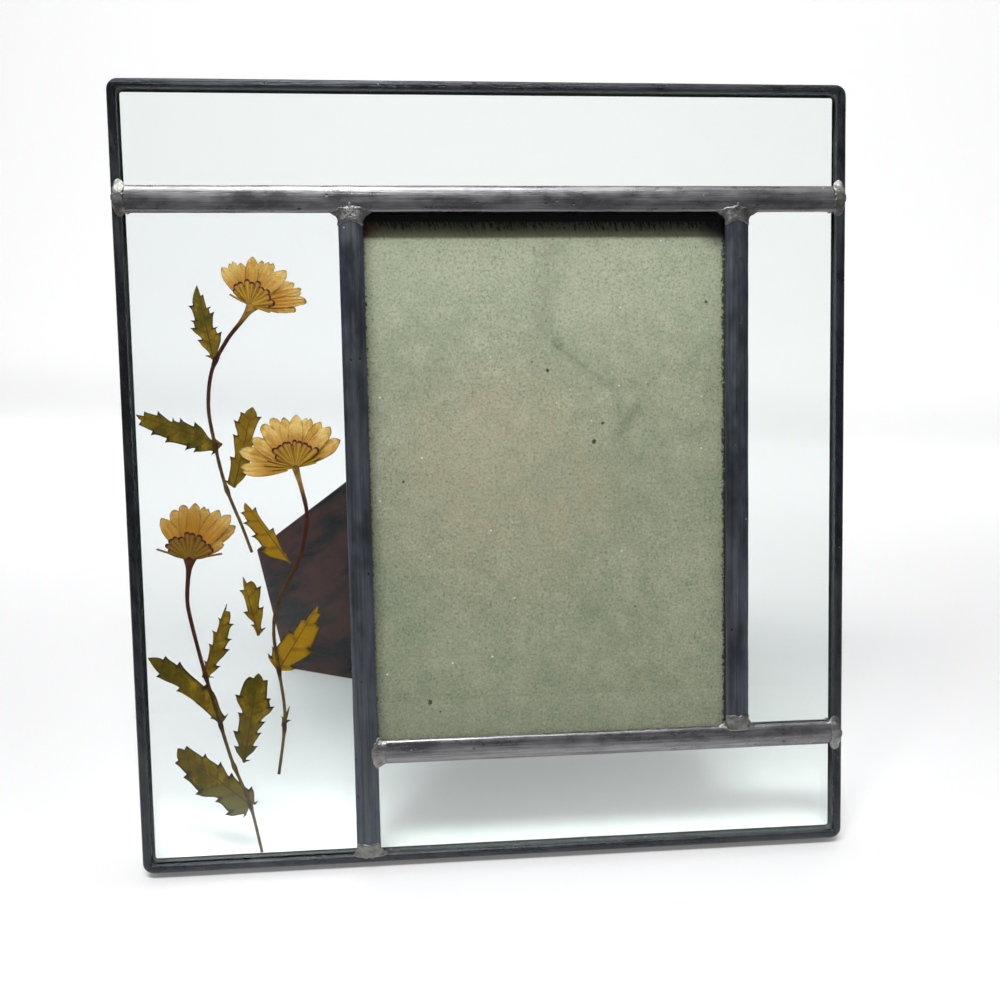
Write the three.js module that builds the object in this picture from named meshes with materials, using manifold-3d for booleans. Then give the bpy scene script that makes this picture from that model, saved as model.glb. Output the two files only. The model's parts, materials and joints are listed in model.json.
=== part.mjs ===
// A leaded-glass photo frame: four cames and a border came divide it into five panes, one of them a
// double pane with three pressed flower stems between its sheets. It leans back on an easel leg that
// folds flat behind it on a slanting hinge. Millimetres; x to the right, y away from the viewer, z up.
import * as THREE from "three";
import { mergeVertices } from "three/addons/utils/BufferGeometryUtils.js";
import Module from "manifold-3d";

const wasm = await Module();
wasm.setup();

// ---- Driving dimensions. Panel places are measured from the frame's outer left and bottom edges, and
// depths from the front lip of the border came.
const FRAME_WIDTH = 171.4;
const FRAME_HEIGHT = 184.3;
const CORNER_RADIUS = 2.6;
const LEAN = THREE.MathUtils.degToRad(15);
const GAP = 0.3; // running gap between pieces that touch

const PLAIN_GLASS = 5; // one thick sheet in each plain pane
const THIN_GLASS = 1.9; // each sheet of the flower pane
const PHOTO_GLASS = 2;
const PANE_CORNER = 2;

const LIP_THICK = 0.8;
const LIP_WIDTH = 2.2;
const REAR_LIP_WIDTH = 1.65;
const LIP_ROUND = 0.35;
const WALL_THICK = 0.9;
const GLASS_FRONT = LIP_THICK + GAP;
const GLASS_BACK = GLASS_FRONT + PLAIN_GLASS;
const BORDER_DEPTH = GLASS_BACK + GAP + LIP_THICK;

const CAME_WIDTH = 5.8;
const TOP_WIDTH = 6.1; // the top came is a little wider
const REAR_WIDTH = 4.2; // rear flanges are narrower
const CAME_RISE = 0.95; // height of the half-round crown over the flange edge
const FLANGE_EDGE = 0.35;
const HEART = 1; // web between the two flanges
const CROWN = CAME_RISE + FLANGE_EDGE - LIP_THICK; // how far a crown stands proud of the border lip
const PANE_REACH = HEART / 2 + 0.4; // from a came's centre line to a pane's edge
const PANE_INSET = WALL_THICK + GAP; // from the frame's outer edge to a pane's edge

const LEFT_UPRIGHT = 53.5; // centre lines of the four cames
const RIGHT_UPRIGHT = 144.7;
const TOP_CROSS = 157.7;
const LOWER_CROSS = 27.1;

const SOLDER_RADIUS = 4;
const SOLDER_HEIGHT = 0.65;
const EDGE_BLOB = 1.5; // from the frame's side to the middle of a joint on the border

const BOARD_FRONT = 4;
const BOARD = { left: 54.9, right: 143.3, bottom: 28.4, top: 156.6 };
const PLATE_THICK = 0.8;
const PLATE = { left: 53, right: 145.2, bottom: 26.6, top: 150.8, chamfer: 10, notch: 9 };
const PLATE_FRONT = BORDER_DEPTH + CROWN + GAP;
const PLATE_BACK = PLATE_FRONT + PLATE_THICK;
const TACK_RADIUS = 2.6;
const TACK_HEIGHTS = [62, 118];

const KNUCKLE_RADIUS = 1.7;
const BORE_RADIUS = 1.15;
const PIN_RADIUS = 0.85;
const HINGE_LENGTH = 34;
const LEG_KNUCKLE = 12;
const KNUCKLE_CLEARANCE = 0.5;
const LEAF_LENGTH = 15;
const LEAF_THICK = 0.8;
const HINGE_CENTRE = new THREE.Vector3(91.8, PLATE_BACK + GAP + KNUCKLE_RADIUS, 116.2);
const HINGE_SLOPE = THREE.MathUtils.degToRad(36.9); // how far the hinge falls to the right
const LEG_SWING = THREE.MathUtils.degToRad(37); // between the folded and the open leg
const LEG_THICK = 1;
const LEG = { neck: 17, leftFlare: 45, rightFlare: 60, shoulder: 32.3, leftShoulder: 104.8, tip: -2.9 };
const LEG_SHOULDER_START = 3.2; // where the leg's plate begins below the hinge axis
const STOP_HEEL = 2.1;

// Depths of the layers pressed between the two thin sheets
const LAYERS = {
  cup: [3.06, 3.22],
  petals: [3.28, 3.5],
  stem: [3.06, 3.5],
  frontLeaf: [3.57, 3.8],
  backLeaf: [3.87, 4.12],
};
const STEM_WIDTH = 1.05;
const TOOTH_DROP = 0.8; // how far a leaf's edge steps in behind each tooth
const TOOTH_STEP = 0.22; // share of the way to the next tooth that the step takes

// The three sprays. Petals are [angle in degrees, length] about the head's base; leaf teeth are
// [distance along the midrib, distance out from it], from the base to the tip.
const HEADS = [
  {
    base: [29.5, 133.9],
    petals: [[125, 10.7], [112, 10.7], [100, 10], [84, 11.3], [73, 10.8], [62, 11.2], [43, 11.8],
      [26, 11.6], [15, 12.5], [5, 13.1], [-5, 10.6]],
    cup: { from: 132, to: -2, radius: 5.8, bracts: 9 },
  },
  {
    base: [38.8, 95.9],
    petals: [[181, 12.6], [161, 13.8], [145, 12.3], [126, 12.7], [113, 12.9], [102, 12.2], [88, 12.6],
      [74, 12.2], [60, 12.4], [49, 12.7], [31, 12.4]],
    cup: { from: 145, to: 35, radius: 6.8, bracts: 9 },
  },
  {
    base: [13.3, 74.8],
    petals: [[121, 11.7], [106, 12.2], [94, 13], [82, 13.5], [70, 13], [58, 13.7], [46, 14.4],
      [35, 13.4], [24, 9]],
    cup: { from: 154, to: 15, radius: 6.4, bracts: 10 },
  },
];
const STEMS = [
  [[29.5, 133], [27.3, 130], [24, 125.9], [20.4, 119.2], [19.2, 111.1], [20, 103.6], [22.3, 92.3],
    [25.9, 82.2], [27.9, 76.1]],
  [[39, 94.9], [40.1, 90.5], [41, 85.7], [40.7, 81.3], [38.8, 74], [33.8, 64.7], [32.3, 56.9],
    [33.2, 47.4], [34.2, 36], [32.3, 22.1]],
  [[13.3, 73.9], [12.5, 66.4], [12.9, 61.3], [15.4, 49.2], [17.8, 39.7], [21.3, 26], [25.1, 15.3],
    [27.6, 3]],
];
const LEAVES = {
  leaf_1_upper: {
    base: [20.7, 121.5], tip: [17.6, 138.6], layer: "frontLeaf",
    left: [[1.3, 1.7], [5.2, 2.7], [8.2, 3.7], [9.8, 3.3], [13.2, 3]],
    right: [[0.1, 2], [6, 3.3], [7.3, 2.7], [10.8, 2.7], [12.1, 2.2], [15.1, 1]],
  },
  leaf_1_left: {
    base: [21.9, 101.7], tip: [2.6, 109], layer: "frontLeaf",
    left: [[1.6, 3.3], [5.7, 4], [7.6, 4.2], [12.5, 4], [16.1, 3.5], [19.4, 2]],
    right: [[2.5, 1.4], [7.6, 3], [11, 2.8], [12.6, 2.3], [16.3, 2.6], [19.2, 1.4]],
  },
  leaf_1_right: {
    base: [24.2, 91.5], tip: [29.2, 110.4], layer: "backLeaf",
    left: [[1.3, 2.9], [7, 2.6], [12.3, 3.1], [15.6, 3.7], [17.8, 2.5]],
    right: [[4, 2.4], [8.5, 3], [12.3, 2.7], [17.8, 2.6]],
  },
  leaf_2_right: {
    base: [32.8, 47.2], tip: [42.8, 62.7], layer: "frontLeaf",
    left: [[2.6, 4.3], [4.5, 4.4], [9.9, 2.9], [14.1, 1.7]],
    right: [[3, 3.6], [8.8, 5.1], [14.8, 3], [17.3, 1.9]],
  },
  bract_2_low: {
    base: [33.4, 33.7], tip: [35.3, 38.5], layer: "frontLeaf",
    left: [[2.3, 1.2]],
    right: [[2.1, 1.6]],
  },
  leaf_3_upright: {
    base: [15.2, 46.4], tip: [21.5, 63.9], layer: "frontLeaf",
    left: [[4, 1], [8.3, 1.2], [11.5, 1.4], [14.9, 1]],
    right: [[0.9, 2.6], [3.8, 3.2], [8.4, 4], [10.9, 3.8], [14.5, 3.1], [17.1, 1.1]],
  },
  leaf_3_left: {
    base: [19, 34.8], tip: [2.6, 51.5], layer: "backLeaf",
    left: [[2.9, 0.9], [8, 0.4], [13.2, 1.4], [19, 2.1]],
    right: [[0.6, 3.1], [9.2, 5.1], [17.5, 4.5], [20.8, 3.2]],
  },
  leaf_3_right: {
    base: [24, 25.2], tip: [28.3, 46.9], layer: "frontLeaf",
    left: [[3.8, 3], [7.4, 3.8], [12, 3.4], [16.2, 4.7], [21, 2]],
    right: [[0.9, 1.5], [4.5, 2.7], [7.9, 3.1], [10.7, 3.6], [14.7, 5.1], [16.5, 4], [20.8, 2.4]],
  },
  leaf_3_low: {
    base: [25.1, 14.8], tip: [8.6, 29.4], layer: "frontLeaf",
    left: [[-0.8, 3.7], [3, 5.7], [6.9, 4.7], [11.7, 6.2], [16.5, 4.7], [20.3, 3.2]],
    right: [[-0.9, 2], [2.6, 3.8], [8.4, 3.4], [12.1, 3.9], [16.2, 3.2], [20.8, 1.8]],
  },
  loose_leaf_upper: {
    base: [36.7, 73.2], tip: [26.6, 87.9], layer: "frontLeaf",
    left: [[0.2, 0.8], [6.8, 4.1], [10.5, 3.6], [14.2, 3.3], [16.5, 2.3]],
    right: [[0.2, 1.2], [2.8, 0.9], [9.2, 1.9], [15.6, 1.5]],
  },
  loose_leaf_lower: {
    base: [28.6, 56], tip: [25.5, 70.2], layer: "frontLeaf",
    left: [[3, 1.2], [6.4, 2.1], [11.7, 1.6]],
    right: [[1.5, 2.2], [6.5, 3], [11.5, 3.7], [13.2, 1.6]],
  },
};

// ---- Materials
const finish = (color, roughness, metalness = 0) =>
  new THREE.MeshStandardMaterial({ color, roughness, metalness });
const patina = finish(0x4a4c55, 0.38, 0.9);
const solder = finish(0x9b9a94, 0.32, 0.95);
const glass = new THREE.MeshStandardMaterial({
  color: 0xdcece8, roughness: 0.04, transparent: true, opacity: 0.35,
});
const chipboard = finish(0x9a9f86, 0.9);
const darkPlate = finish(0x2e2729, 0.25, 0.6);
const steel = finish(0x77777a, 0.35, 1);
const petalGold = finish(0xdeb268, 0.8);
const bractBrown = finish(0x8d6a38, 0.8);
const stemBrown = finish(0x6e4a2c, 0.75);
const leafOlive = finish(0x74682a, 0.8);

// ---- Solids
function toSolid(geometry) {
  const bare = geometry.clone();
  bare.deleteAttribute("normal");
  bare.deleteAttribute("uv");
  const merged = mergeVertices(bare, 1e-4);
  return new wasm.Manifold(
    new wasm.Mesh({
      numProp: 3,
      vertProperties: merged.attributes.position.array,
      triVerts: new Uint32Array(merged.index.array),
    }),
  );
}

function toGeometry(solid) {
  const mesh = solid.getMesh();
  const geometry = new THREE.BufferGeometry();
  geometry.setAttribute("position", new THREE.BufferAttribute(mesh.vertProperties, 3));
  geometry.setIndex(new THREE.BufferAttribute(mesh.triVerts, 1));
  geometry.computeVertexNormals();
  return geometry;
}

const joined = (geometries) => geometries.map(toSolid).reduce((all, one) => all.add(one));

function named(name, geometry, material) {
  const mesh = new THREE.Mesh(geometry, material);
  mesh.name = name;
  return mesh;
}

// ---- Outlines in the panel's plane
function rectangle(left, bottom, right, top, radius = 0, Outline = THREE.Shape) {
  const outline = new Outline();
  if (radius === 0) {
    outline.setFromPoints([
      new THREE.Vector2(left, bottom),
      new THREE.Vector2(right, bottom),
      new THREE.Vector2(right, top),
      new THREE.Vector2(left, top),
    ]);
    return outline;
  }
  const quarter = Math.PI / 2;
  outline.absarc(right - radius, bottom + radius, radius, -quarter, 0);
  outline.absarc(right - radius, top - radius, radius, 0, quarter);
  outline.absarc(left + radius, top - radius, radius, quarter, 2 * quarter);
  outline.absarc(left + radius, bottom + radius, radius, 2 * quarter, 3 * quarter);
  return outline;
}

const polygon = (points) => new THREE.Shape(points.map(([x, y]) => new THREE.Vector2(x, y)));

// A flat piece with its outline in the panel's plane, from one depth to another
function slab(name, outline, front, back, material) {
  const geometry = new THREE.ExtrudeGeometry(outline, {
    depth: back - front,
    bevelEnabled: false,
    curveSegments: 4,
  });
  const mesh = named(name, geometry, material);
  mesh.rotation.x = Math.PI / 2; // the outline's y turns to height, its depth runs to the front
  mesh.position.y = back;
  return mesh;
}

// ---- Border came: a U channel bent round the whole frame
function ring(width) {
  const outline = rectangle(0, 0, FRAME_WIDTH, FRAME_HEIGHT, CORNER_RADIUS);
  const inner = rectangle(
    width, width, FRAME_WIDTH - width, FRAME_HEIGHT - width, CORNER_RADIUS - width, THREE.Path);
  outline.holes.push(inner);
  return outline;
}

function lip(width, middle) {
  const geometry = new THREE.ExtrudeGeometry(ring(width), {
    depth: LIP_THICK - 2 * LIP_ROUND,
    bevelThickness: LIP_ROUND,
    bevelSize: LIP_ROUND,
    bevelOffset: -LIP_ROUND,
    bevelSegments: 2,
    curveSegments: 4,
  });
  return geometry.translate(0, 0, middle - LIP_THICK / 2 + LIP_ROUND);
}

function borderCame() {
  const wallDepth = BORDER_DEPTH - LIP_THICK;
  const wall = new THREE.ExtrudeGeometry(ring(WALL_THICK), {
    depth: wallDepth,
    bevelEnabled: false,
    curveSegments: 4,
  }).translate(0, 0, LIP_THICK / 2);
  const rear = lip(REAR_LIP_WIDTH, LIP_THICK / 2);
  const front = lip(LIP_WIDTH, BORDER_DEPTH - LIP_THICK / 2);
  const mesh = named("border_came", toGeometry(joined([wall, rear, front])), patina);
  mesh.rotation.x = Math.PI / 2;
  mesh.position.y = BORDER_DEPTH;
  return mesh;
}

// ---- Inner cames: an H section with half-round faces
// One flange as seen from the front, from the heart's left side over the crown to its right side
function flange(width) {
  const half = width / 2;
  const steps = 8;
  const crown = []; // the half-round face, from the left edge to the right edge
  for (let i = 0; i <= steps; i++) {
    const turn = Math.PI * (1 - i / steps);
    crown.push([half * Math.cos(turn), LIP_THICK - FLANGE_EDGE - CAME_RISE * Math.sin(turn)]);
  }
  const inner = LIP_THICK;
  return [[-HEART / 2, inner], [-half, inner], ...crown, [half, inner], [HEART / 2, inner]];
}

function cameSection(width) {
  const rear = flange(REAR_WIDTH).map(([across, depth]) => [-across, BORDER_DEPTH - depth]);
  return polygon([...flange(width), ...rear]);
}

const cameLength = (length, width = CAME_WIDTH) =>
  new THREE.ExtrudeGeometry(cameSection(width), { depth: length, bevelEnabled: false });

function crossCame(name, height, left, right, width) {
  const mesh = named(name, cameLength(right - left, width), patina);
  mesh.rotation.y = Math.PI / 2;
  mesh.position.set(left, 0, height);
  return mesh;
}

function uprightCame(name, across, bottom, top) {
  const mesh = named(name, cameLength(top - bottom), patina);
  mesh.position.set(across, 0, bottom);
  return mesh;
}

function innerCames() {
  const edge = LIP_WIDTH + GAP;
  const under = CAME_WIDTH / 2 + GAP; // from a came's centre to the butt of one that meets it
  const top = TOP_CROSS - TOP_WIDTH / 2 - GAP; // where the uprights end
  return [
    crossCame("top_cross_came", TOP_CROSS, edge, FRAME_WIDTH - edge, TOP_WIDTH),
    uprightCame("left_upright_came", LEFT_UPRIGHT, edge, top),
    crossCame("lower_cross_came", LOWER_CROSS, LEFT_UPRIGHT + under, FRAME_WIDTH - edge),
    uprightCame("right_upright_came", RIGHT_UPRIGHT, LOWER_CROSS + under, top),
  ];
}

// ---- Solder: a low puddle over each joint, front and back
function dome(radius, height) {
  const steps = 4;
  const profile = [new THREE.Vector2(0, 0), new THREE.Vector2(radius, 0)];
  for (let i = 1; i < steps; i++) {
    const turn = (Math.PI / 2) * (i / steps);
    profile.push(new THREE.Vector2(radius * Math.cos(turn), height * Math.sin(turn)));
  }
  profile.push(new THREE.Vector2(0, height));
  return new THREE.LatheGeometry(profile, 12);
}

const JOINTS = {
  top_left: [EDGE_BLOB, TOP_CROSS, 0.33, 0.92],
  top_right: [FRAME_WIDTH - EDGE_BLOB, TOP_CROSS, 0.33, 0.92],
  upper_left_upright: [LEFT_UPRIGHT, TOP_CROSS - TOP_WIDTH / 2, 1.05, 0.75],
  upper_right_upright: [RIGHT_UPRIGHT, TOP_CROSS - TOP_WIDTH / 2, 1.05, 0.7],
  lower_left: [LEFT_UPRIGHT + CAME_WIDTH / 2, LOWER_CROSS, 0.75, 1.05],
  lower_right_upright: [RIGHT_UPRIGHT, LOWER_CROSS + CAME_WIDTH / 2, 1.1, 0.8],
  lower_right: [FRAME_WIDTH - EDGE_BLOB, LOWER_CROSS, 0.33, 0.92],
  bottom_left_upright: [LEFT_UPRIGHT, LIP_WIDTH + 3, 1, 0.7],
};

function solderJoints() {
  return Object.entries(JOINTS).flatMap(([place, [x, z, wide, high]]) =>
    ["front", "back"].map((side) => {
      const mesh = named(`solder_${side}_${place}`, dome(SOLDER_RADIUS, SOLDER_HEIGHT), solder);
      const isFront = side === "front";
      mesh.scale.set(wide, 1, high);
      mesh.rotation.x = isFront ? Math.PI : 0;
      mesh.position.set(x, isFront ? -CROWN - GAP : BORDER_DEPTH + CROWN + GAP, z);
      return mesh;
    }),
  );
}

// ---- Glass
function panes() {
  const outerRight = FRAME_WIDTH - PANE_INSET;
  const outerTop = FRAME_HEIGHT - PANE_INSET;
  const below = TOP_CROSS - PANE_REACH;
  const pane = (left, bottom, right, top) => rectangle(left, bottom, right, top, PANE_CORNER);
  const flower = pane(PANE_INSET, PANE_INSET, LEFT_UPRIGHT - PANE_REACH, below);
  const top = pane(PANE_INSET, TOP_CROSS + PANE_REACH, outerRight, outerTop);
  const right = pane(RIGHT_UPRIGHT + PANE_REACH, LOWER_CROSS + PANE_REACH, outerRight, below);
  const bottom = pane(LEFT_UPRIGHT + PANE_REACH, PANE_INSET, outerRight, LOWER_CROSS - PANE_REACH);
  const photo = pane(
    LEFT_UPRIGHT + PANE_REACH, LOWER_CROSS + PANE_REACH, RIGHT_UPRIGHT - PANE_REACH, below);
  return [
    slab("top_pane", top, GLASS_FRONT, GLASS_BACK, glass),
    slab("right_pane", right, GLASS_FRONT, GLASS_BACK, glass),
    slab("bottom_pane", bottom, GLASS_FRONT, GLASS_BACK, glass),
    slab("photo_pane", photo, GLASS_FRONT, GLASS_FRONT + PHOTO_GLASS, glass),
    slab("flower_pane_front", flower, GLASS_FRONT, GLASS_FRONT + THIN_GLASS, glass),
    slab("flower_pane_back", flower, GLASS_BACK - THIN_GLASS, GLASS_BACK, glass),
  ];
}

// ---- Insert board and the back plate that pockets it
function insertBoard() {
  const outline = rectangle(BOARD.left, BOARD.bottom, BOARD.right, BOARD.top);
  return slab("insert_board", outline, BOARD_FRONT, GLASS_BACK, chipboard);
}

function backPlate() {
  const { left, right, bottom, top, chamfer, notch } = PLATE;
  const middle = (left + right) / 2;
  const outline = new THREE.Shape();
  outline.moveTo(left, bottom + chamfer);
  outline.lineTo(left + chamfer, bottom);
  outline.lineTo(right - chamfer, bottom);
  outline.lineTo(right, bottom + chamfer);
  outline.lineTo(right, top);
  outline.lineTo(middle + notch, top);
  outline.absarc(middle, top, notch, 0, Math.PI, true);
  outline.lineTo(left, top);
  return slab("back_plate", outline, PLATE_FRONT, PLATE_BACK, darkPlate);
}

function plateTacks() {
  const sides = { left: PLATE.left, right: PLATE.right };
  return Object.entries(sides).flatMap(([side, x]) =>
    TACK_HEIGHTS.map((z, i) => {
      const name = `plate_tack_${side}_${i === 0 ? "low" : "high"}`;
      const mesh = named(name, dome(TACK_RADIUS, SOLDER_HEIGHT), solder);
      mesh.position.set(x, PLATE_BACK + GAP, z);
      return mesh;
    }),
  );
}

// ---- Hinge and leg. Here x runs along the hinge, y down the folded leg and z out of the back.
function knuckle(radius, length, x) {
  const geometry = new THREE.CylinderGeometry(radius, radius, length, 12);
  return geometry.rotateZ(Math.PI / 2).translate(x, 0, 0);
}

function plateAt(outline, low, high) {
  const geometry = new THREE.ExtrudeGeometry(outline, {
    depth: high - low,
    bevelEnabled: false,
    curveSegments: 4,
  });
  return geometry.translate(0, 0, low);
}

const boreSolid = () => toSolid(knuckle(BORE_RADIUS, HINGE_LENGTH + 2, 0));

function hingeLeaf() {
  const half = HINGE_LENGTH / 2;
  const inner = LEG_KNUCKLE / 2 + KNUCKLE_CLEARANCE;
  const low = -KNUCKLE_RADIUS;
  const notch = -KNUCKLE_RADIUS - 1.3;
  const edge = -0.8;
  const outline = polygon([
    [-half, -LEAF_LENGTH], [half, -LEAF_LENGTH], [half, edge], [inner, edge],
    [inner, notch], [-inner, notch], [-inner, edge], [-half, edge],
  ]);
  const length = half - inner;
  const solid = joined([
    plateAt(outline, low, low + LEAF_THICK),
    knuckle(KNUCKLE_RADIUS, length, inner + length / 2),
    knuckle(KNUCKLE_RADIUS, length, -inner - length / 2),
  ]);
  return named("hinge_leaf", toGeometry(solid.subtract(boreSolid())), darkPlate);
}

function hingePin() {
  return named("hinge_pin", knuckle(PIN_RADIUS, HINGE_LENGTH + 1, 0), steel);
}

function rivets() {
  return [-1, 1].map((side) => {
    const mesh = named(`hinge_rivet_${side < 0 ? "left" : "right"}`, dome(1.8, 0.7), steel);
    mesh.rotation.x = Math.PI / 2;
    mesh.position.set((side * HINGE_LENGTH) / 3, -LEAF_LENGTH / 2 - 2, LEAF_THICK - KNUCKLE_RADIUS + GAP);
    return mesh;
  });
}

const along = new THREE.Vector3(Math.cos(HINGE_SLOPE), 0, -Math.sin(HINGE_SLOPE));
const folded = new THREE.Vector3(-Math.sin(HINGE_SLOPE), 0, -Math.cos(HINGE_SLOPE));
const outward = new THREE.Vector3(0, 1, 0);

// How far down the open leg the table is met, at a distance x along the hinge
function reach(x) {
  const restEdge = new THREE.Vector3(0, BORDER_DEPTH - LIP_ROUND, 0);
  const tableNormal = new THREE.Vector3(0, -Math.sin(LEAN), Math.cos(LEAN));
  const table = new THREE.Plane().setFromNormalAndCoplanarPoint(tableNormal, restEdge);
  const opened = (v) => v.clone().applyAxisAngle(along, LEG_SWING);
  const start = HINGE_CENTRE.clone()
    .addScaledVector(along, x)
    .addScaledVector(opened(outward), -LEG_THICK / 2);
  const meeting = new THREE.Ray(start, opened(folded)).intersectPlane(table, new THREE.Vector3());
  return start.distanceTo(meeting);
}

function easelLeg() {
  const { neck, leftFlare, rightFlare, shoulder, leftShoulder, tip } = LEG;
  const outline = polygon([
    [-neck, LEG_SHOULDER_START], [neck, LEG_SHOULDER_START], [neck, rightFlare],
    [shoulder, reach(shoulder)], [tip, reach(tip)], [-shoulder, leftShoulder], [-neck, leftFlare],
  ]);
  const half = LEG_KNUCKLE / 2;
  const strap = rectangle(-half, 0, half, LEG_SHOULDER_START + 1);
  const heel = rectangle(-half / 2, -STOP_HEEL, half / 2, 0);
  const [low, high] = [-LEG_THICK / 2, LEG_THICK / 2];
  const solid = joined([
    plateAt(outline, low, high),
    plateAt(strap, low, high),
    plateAt(heel, low, high),
    knuckle(KNUCKLE_RADIUS, LEG_KNUCKLE, 0),
  ]);
  return named("easel_leg", toGeometry(solid.subtract(boreSolid())), darkPlate);
}

function easel() {
  const hinge = new THREE.Group();
  hinge.position.copy(HINGE_CENTRE);
  hinge.setRotationFromMatrix(new THREE.Matrix4().makeBasis(along, folded, outward));
  const opened = new THREE.Group();
  opened.rotation.x = LEG_SWING;
  opened.add(easelLeg());
  hinge.add(hingeLeaf(), hingePin(), ...rivets(), opened);
  return hinge;
}

// ---- Pressed flowers
const polar = ([x, z], degrees, length) => {
  const turn = THREE.MathUtils.degToRad(degrees);
  return [x + length * Math.cos(turn), z + length * Math.sin(turn)];
};

function petalFan({ base, petals }) {
  const points = [];
  const tipSpread = 3.4; // degrees either side of a petal's tip
  petals.forEach(([angle, length], i) => {
    if (i === 0) points.push(polar(base, angle + 7, length * 0.62));
    points.push(polar(base, angle + tipSpread, length * 0.95));
    points.push(polar(base, angle, length));
    points.push(polar(base, angle - tipSpread, length * 0.95));
    const next = petals[i + 1];
    if (next) points.push(polar(base, (angle + next[0]) / 2, Math.min(length, next[1]) * 0.8));
    else points.push(polar(base, angle - 7, length * 0.62));
  });
  return polygon([base, ...points]);
}

function bractCup({ base, cup }) {
  const { from, to, radius, bracts } = cup;
  const points = [];
  for (let i = 0; i <= 2 * bracts; i++) {
    const angle = from + ((to - from) * i) / (2 * bracts);
    points.push(polar(base, angle, i % 2 ? radius : radius * 0.86));
  }
  const middle = (from + to) / 2;
  const foot = [polar(base, middle - 115, 0.9), polar(base, middle + 115, 0.9)];
  return polygon([...points, ...foot]);
}

function stemOutline(route) {
  const curve = new THREE.SplineCurve(route.map(([x, z]) => new THREE.Vector2(x, z)));
  const steps = 2 * route.length;
  const sides = [[], []];
  for (let i = 0; i <= steps; i++) {
    const here = curve.getPoint(i / steps);
    const ahead = curve.getTangent(i / steps);
    const half = (STEM_WIDTH / 2) * (1 - 0.25 * (i / steps));
    sides[0].push([here.x - ahead.y * half, here.y + ahead.x * half]);
    sides[1].push([here.x + ahead.y * half, here.y - ahead.x * half]);
  }
  return polygon([...sides[0], ...sides[1].reverse()]);
}

function leafOutline({ base, tip, left, right }) {
  const rib = new THREE.Vector2(tip[0] - base[0], tip[1] - base[1]);
  const length = rib.length();
  rib.normalize();
  const at = (run, out) => [base[0] + rib.x * run - rib.y * out, base[1] + rib.y * run + rib.x * out];
  const side = (teeth, sign) =>
    teeth.flatMap(([run, out], i) => {
      const next = teeth[i + 1] ?? [length, 0];
      const step = run + TOOTH_STEP * (next[0] - run);
      return [at(run, sign * out), at(step, sign * (out - TOOTH_DROP))];
    });
  return polygon([base, ...side(left, 1), tip, ...side(right, -1).reverse()]);
}

function pressedFlowers() {
  const heads = HEADS.flatMap((head, i) => [
    slab(`petals_${i + 1}`, petalFan(head), ...LAYERS.petals, petalGold),
    slab(`bract_cup_${i + 1}`, bractCup(head), ...LAYERS.cup, bractBrown),
  ]);
  const stems = STEMS.map((route, i) =>
    slab(`stem_${i + 1}`, stemOutline(route), ...LAYERS.stem, stemBrown));
  const leaves = Object.entries(LEAVES).map(([name, leaf]) =>
    slab(name, leafOutline(leaf), ...LAYERS[leaf.layer], leafOlive));
  return [...heads, ...stems, ...leaves];
}

// ---- Assembly: the panel leans back on its lower rear edge, and the foot of the leg meets the table
const panel = new THREE.Group();
panel.rotation.x = -LEAN;
panel.position.set(-FRAME_WIDTH / 2, 0, (BORDER_DEPTH - LIP_ROUND) * Math.sin(LEAN));
panel.add(borderCame(), ...innerCames(), ...solderJoints(), ...panes());
panel.add(insertBoard(), backPlate(), ...plateTacks(), easel(), ...pressedFlowers());

const frame = new THREE.Group();
frame.add(panel);
frame.updateMatrixWorld(true);
const middle = new THREE.Box3().setFromObject(frame, true).getCenter(new THREE.Vector3());
panel.position.y -= middle.y;

export default frame;
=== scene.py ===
"""A leaded-glass photo frame with three pressed flower stems, dressed over its CAD solids.

New pieces are shaped in panel millimetres: x from the frame's left edge, y inwards from the front lip and
z up from the bottom edge. settle() then leans them back with the frame and takes them to metres.
"""
import json
import math
import random

import bmesh
import bpy
from mathutils import Matrix, Vector, noise


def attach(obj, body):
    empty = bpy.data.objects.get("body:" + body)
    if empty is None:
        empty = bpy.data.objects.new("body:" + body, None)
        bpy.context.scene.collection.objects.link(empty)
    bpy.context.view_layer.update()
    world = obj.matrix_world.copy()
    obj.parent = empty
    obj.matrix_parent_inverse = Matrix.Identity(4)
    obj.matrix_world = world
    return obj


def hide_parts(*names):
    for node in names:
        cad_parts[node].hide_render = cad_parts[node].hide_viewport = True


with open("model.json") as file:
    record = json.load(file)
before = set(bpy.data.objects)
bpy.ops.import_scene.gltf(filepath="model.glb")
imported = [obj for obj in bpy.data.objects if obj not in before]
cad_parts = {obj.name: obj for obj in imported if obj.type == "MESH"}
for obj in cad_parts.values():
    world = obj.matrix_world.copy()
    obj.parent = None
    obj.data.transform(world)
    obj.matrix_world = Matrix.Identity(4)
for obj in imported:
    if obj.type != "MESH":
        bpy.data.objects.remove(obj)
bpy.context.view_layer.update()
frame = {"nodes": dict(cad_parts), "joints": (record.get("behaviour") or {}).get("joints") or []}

MILLIMETRE = 0.001

# ---- Sizes, in millimetres, as the solids have them
FRAME_WIDTH = 171.4
FRAME_HEIGHT = 184.3
CORNER_RADIUS = 2.6
LEAN = math.radians(15)
GLASS_FRONT = 1.1
PLAIN_GLASS = 5
THIN_GLASS = 1.9
PHOTO_GLASS = 2
PANE_CORNER = 2
LIP_THICK = 0.8
LIP_WIDTH = 2.2
REAR_LIP_WIDTH = 1.65
WALL_THICK = 0.9
BORDER_DEPTH = 7.2
CAME_WIDTH = 5.8
TOP_WIDTH = 6.1
REAR_WIDTH = 4.2
CAME_RISE = 0.95
FLANGE_EDGE = 0.35
HEART = 1
LEFT_UPRIGHT = 53.5
RIGHT_UPRIGHT = 144.7
TOP_CROSS = 157.7
LOWER_CROSS = 27.1
GAP = 0.3
BOARD = {"left": 54.9, "right": 143.3, "bottom": 28.4, "top": 156.6, "front": 4, "thick": 2.1}
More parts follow.
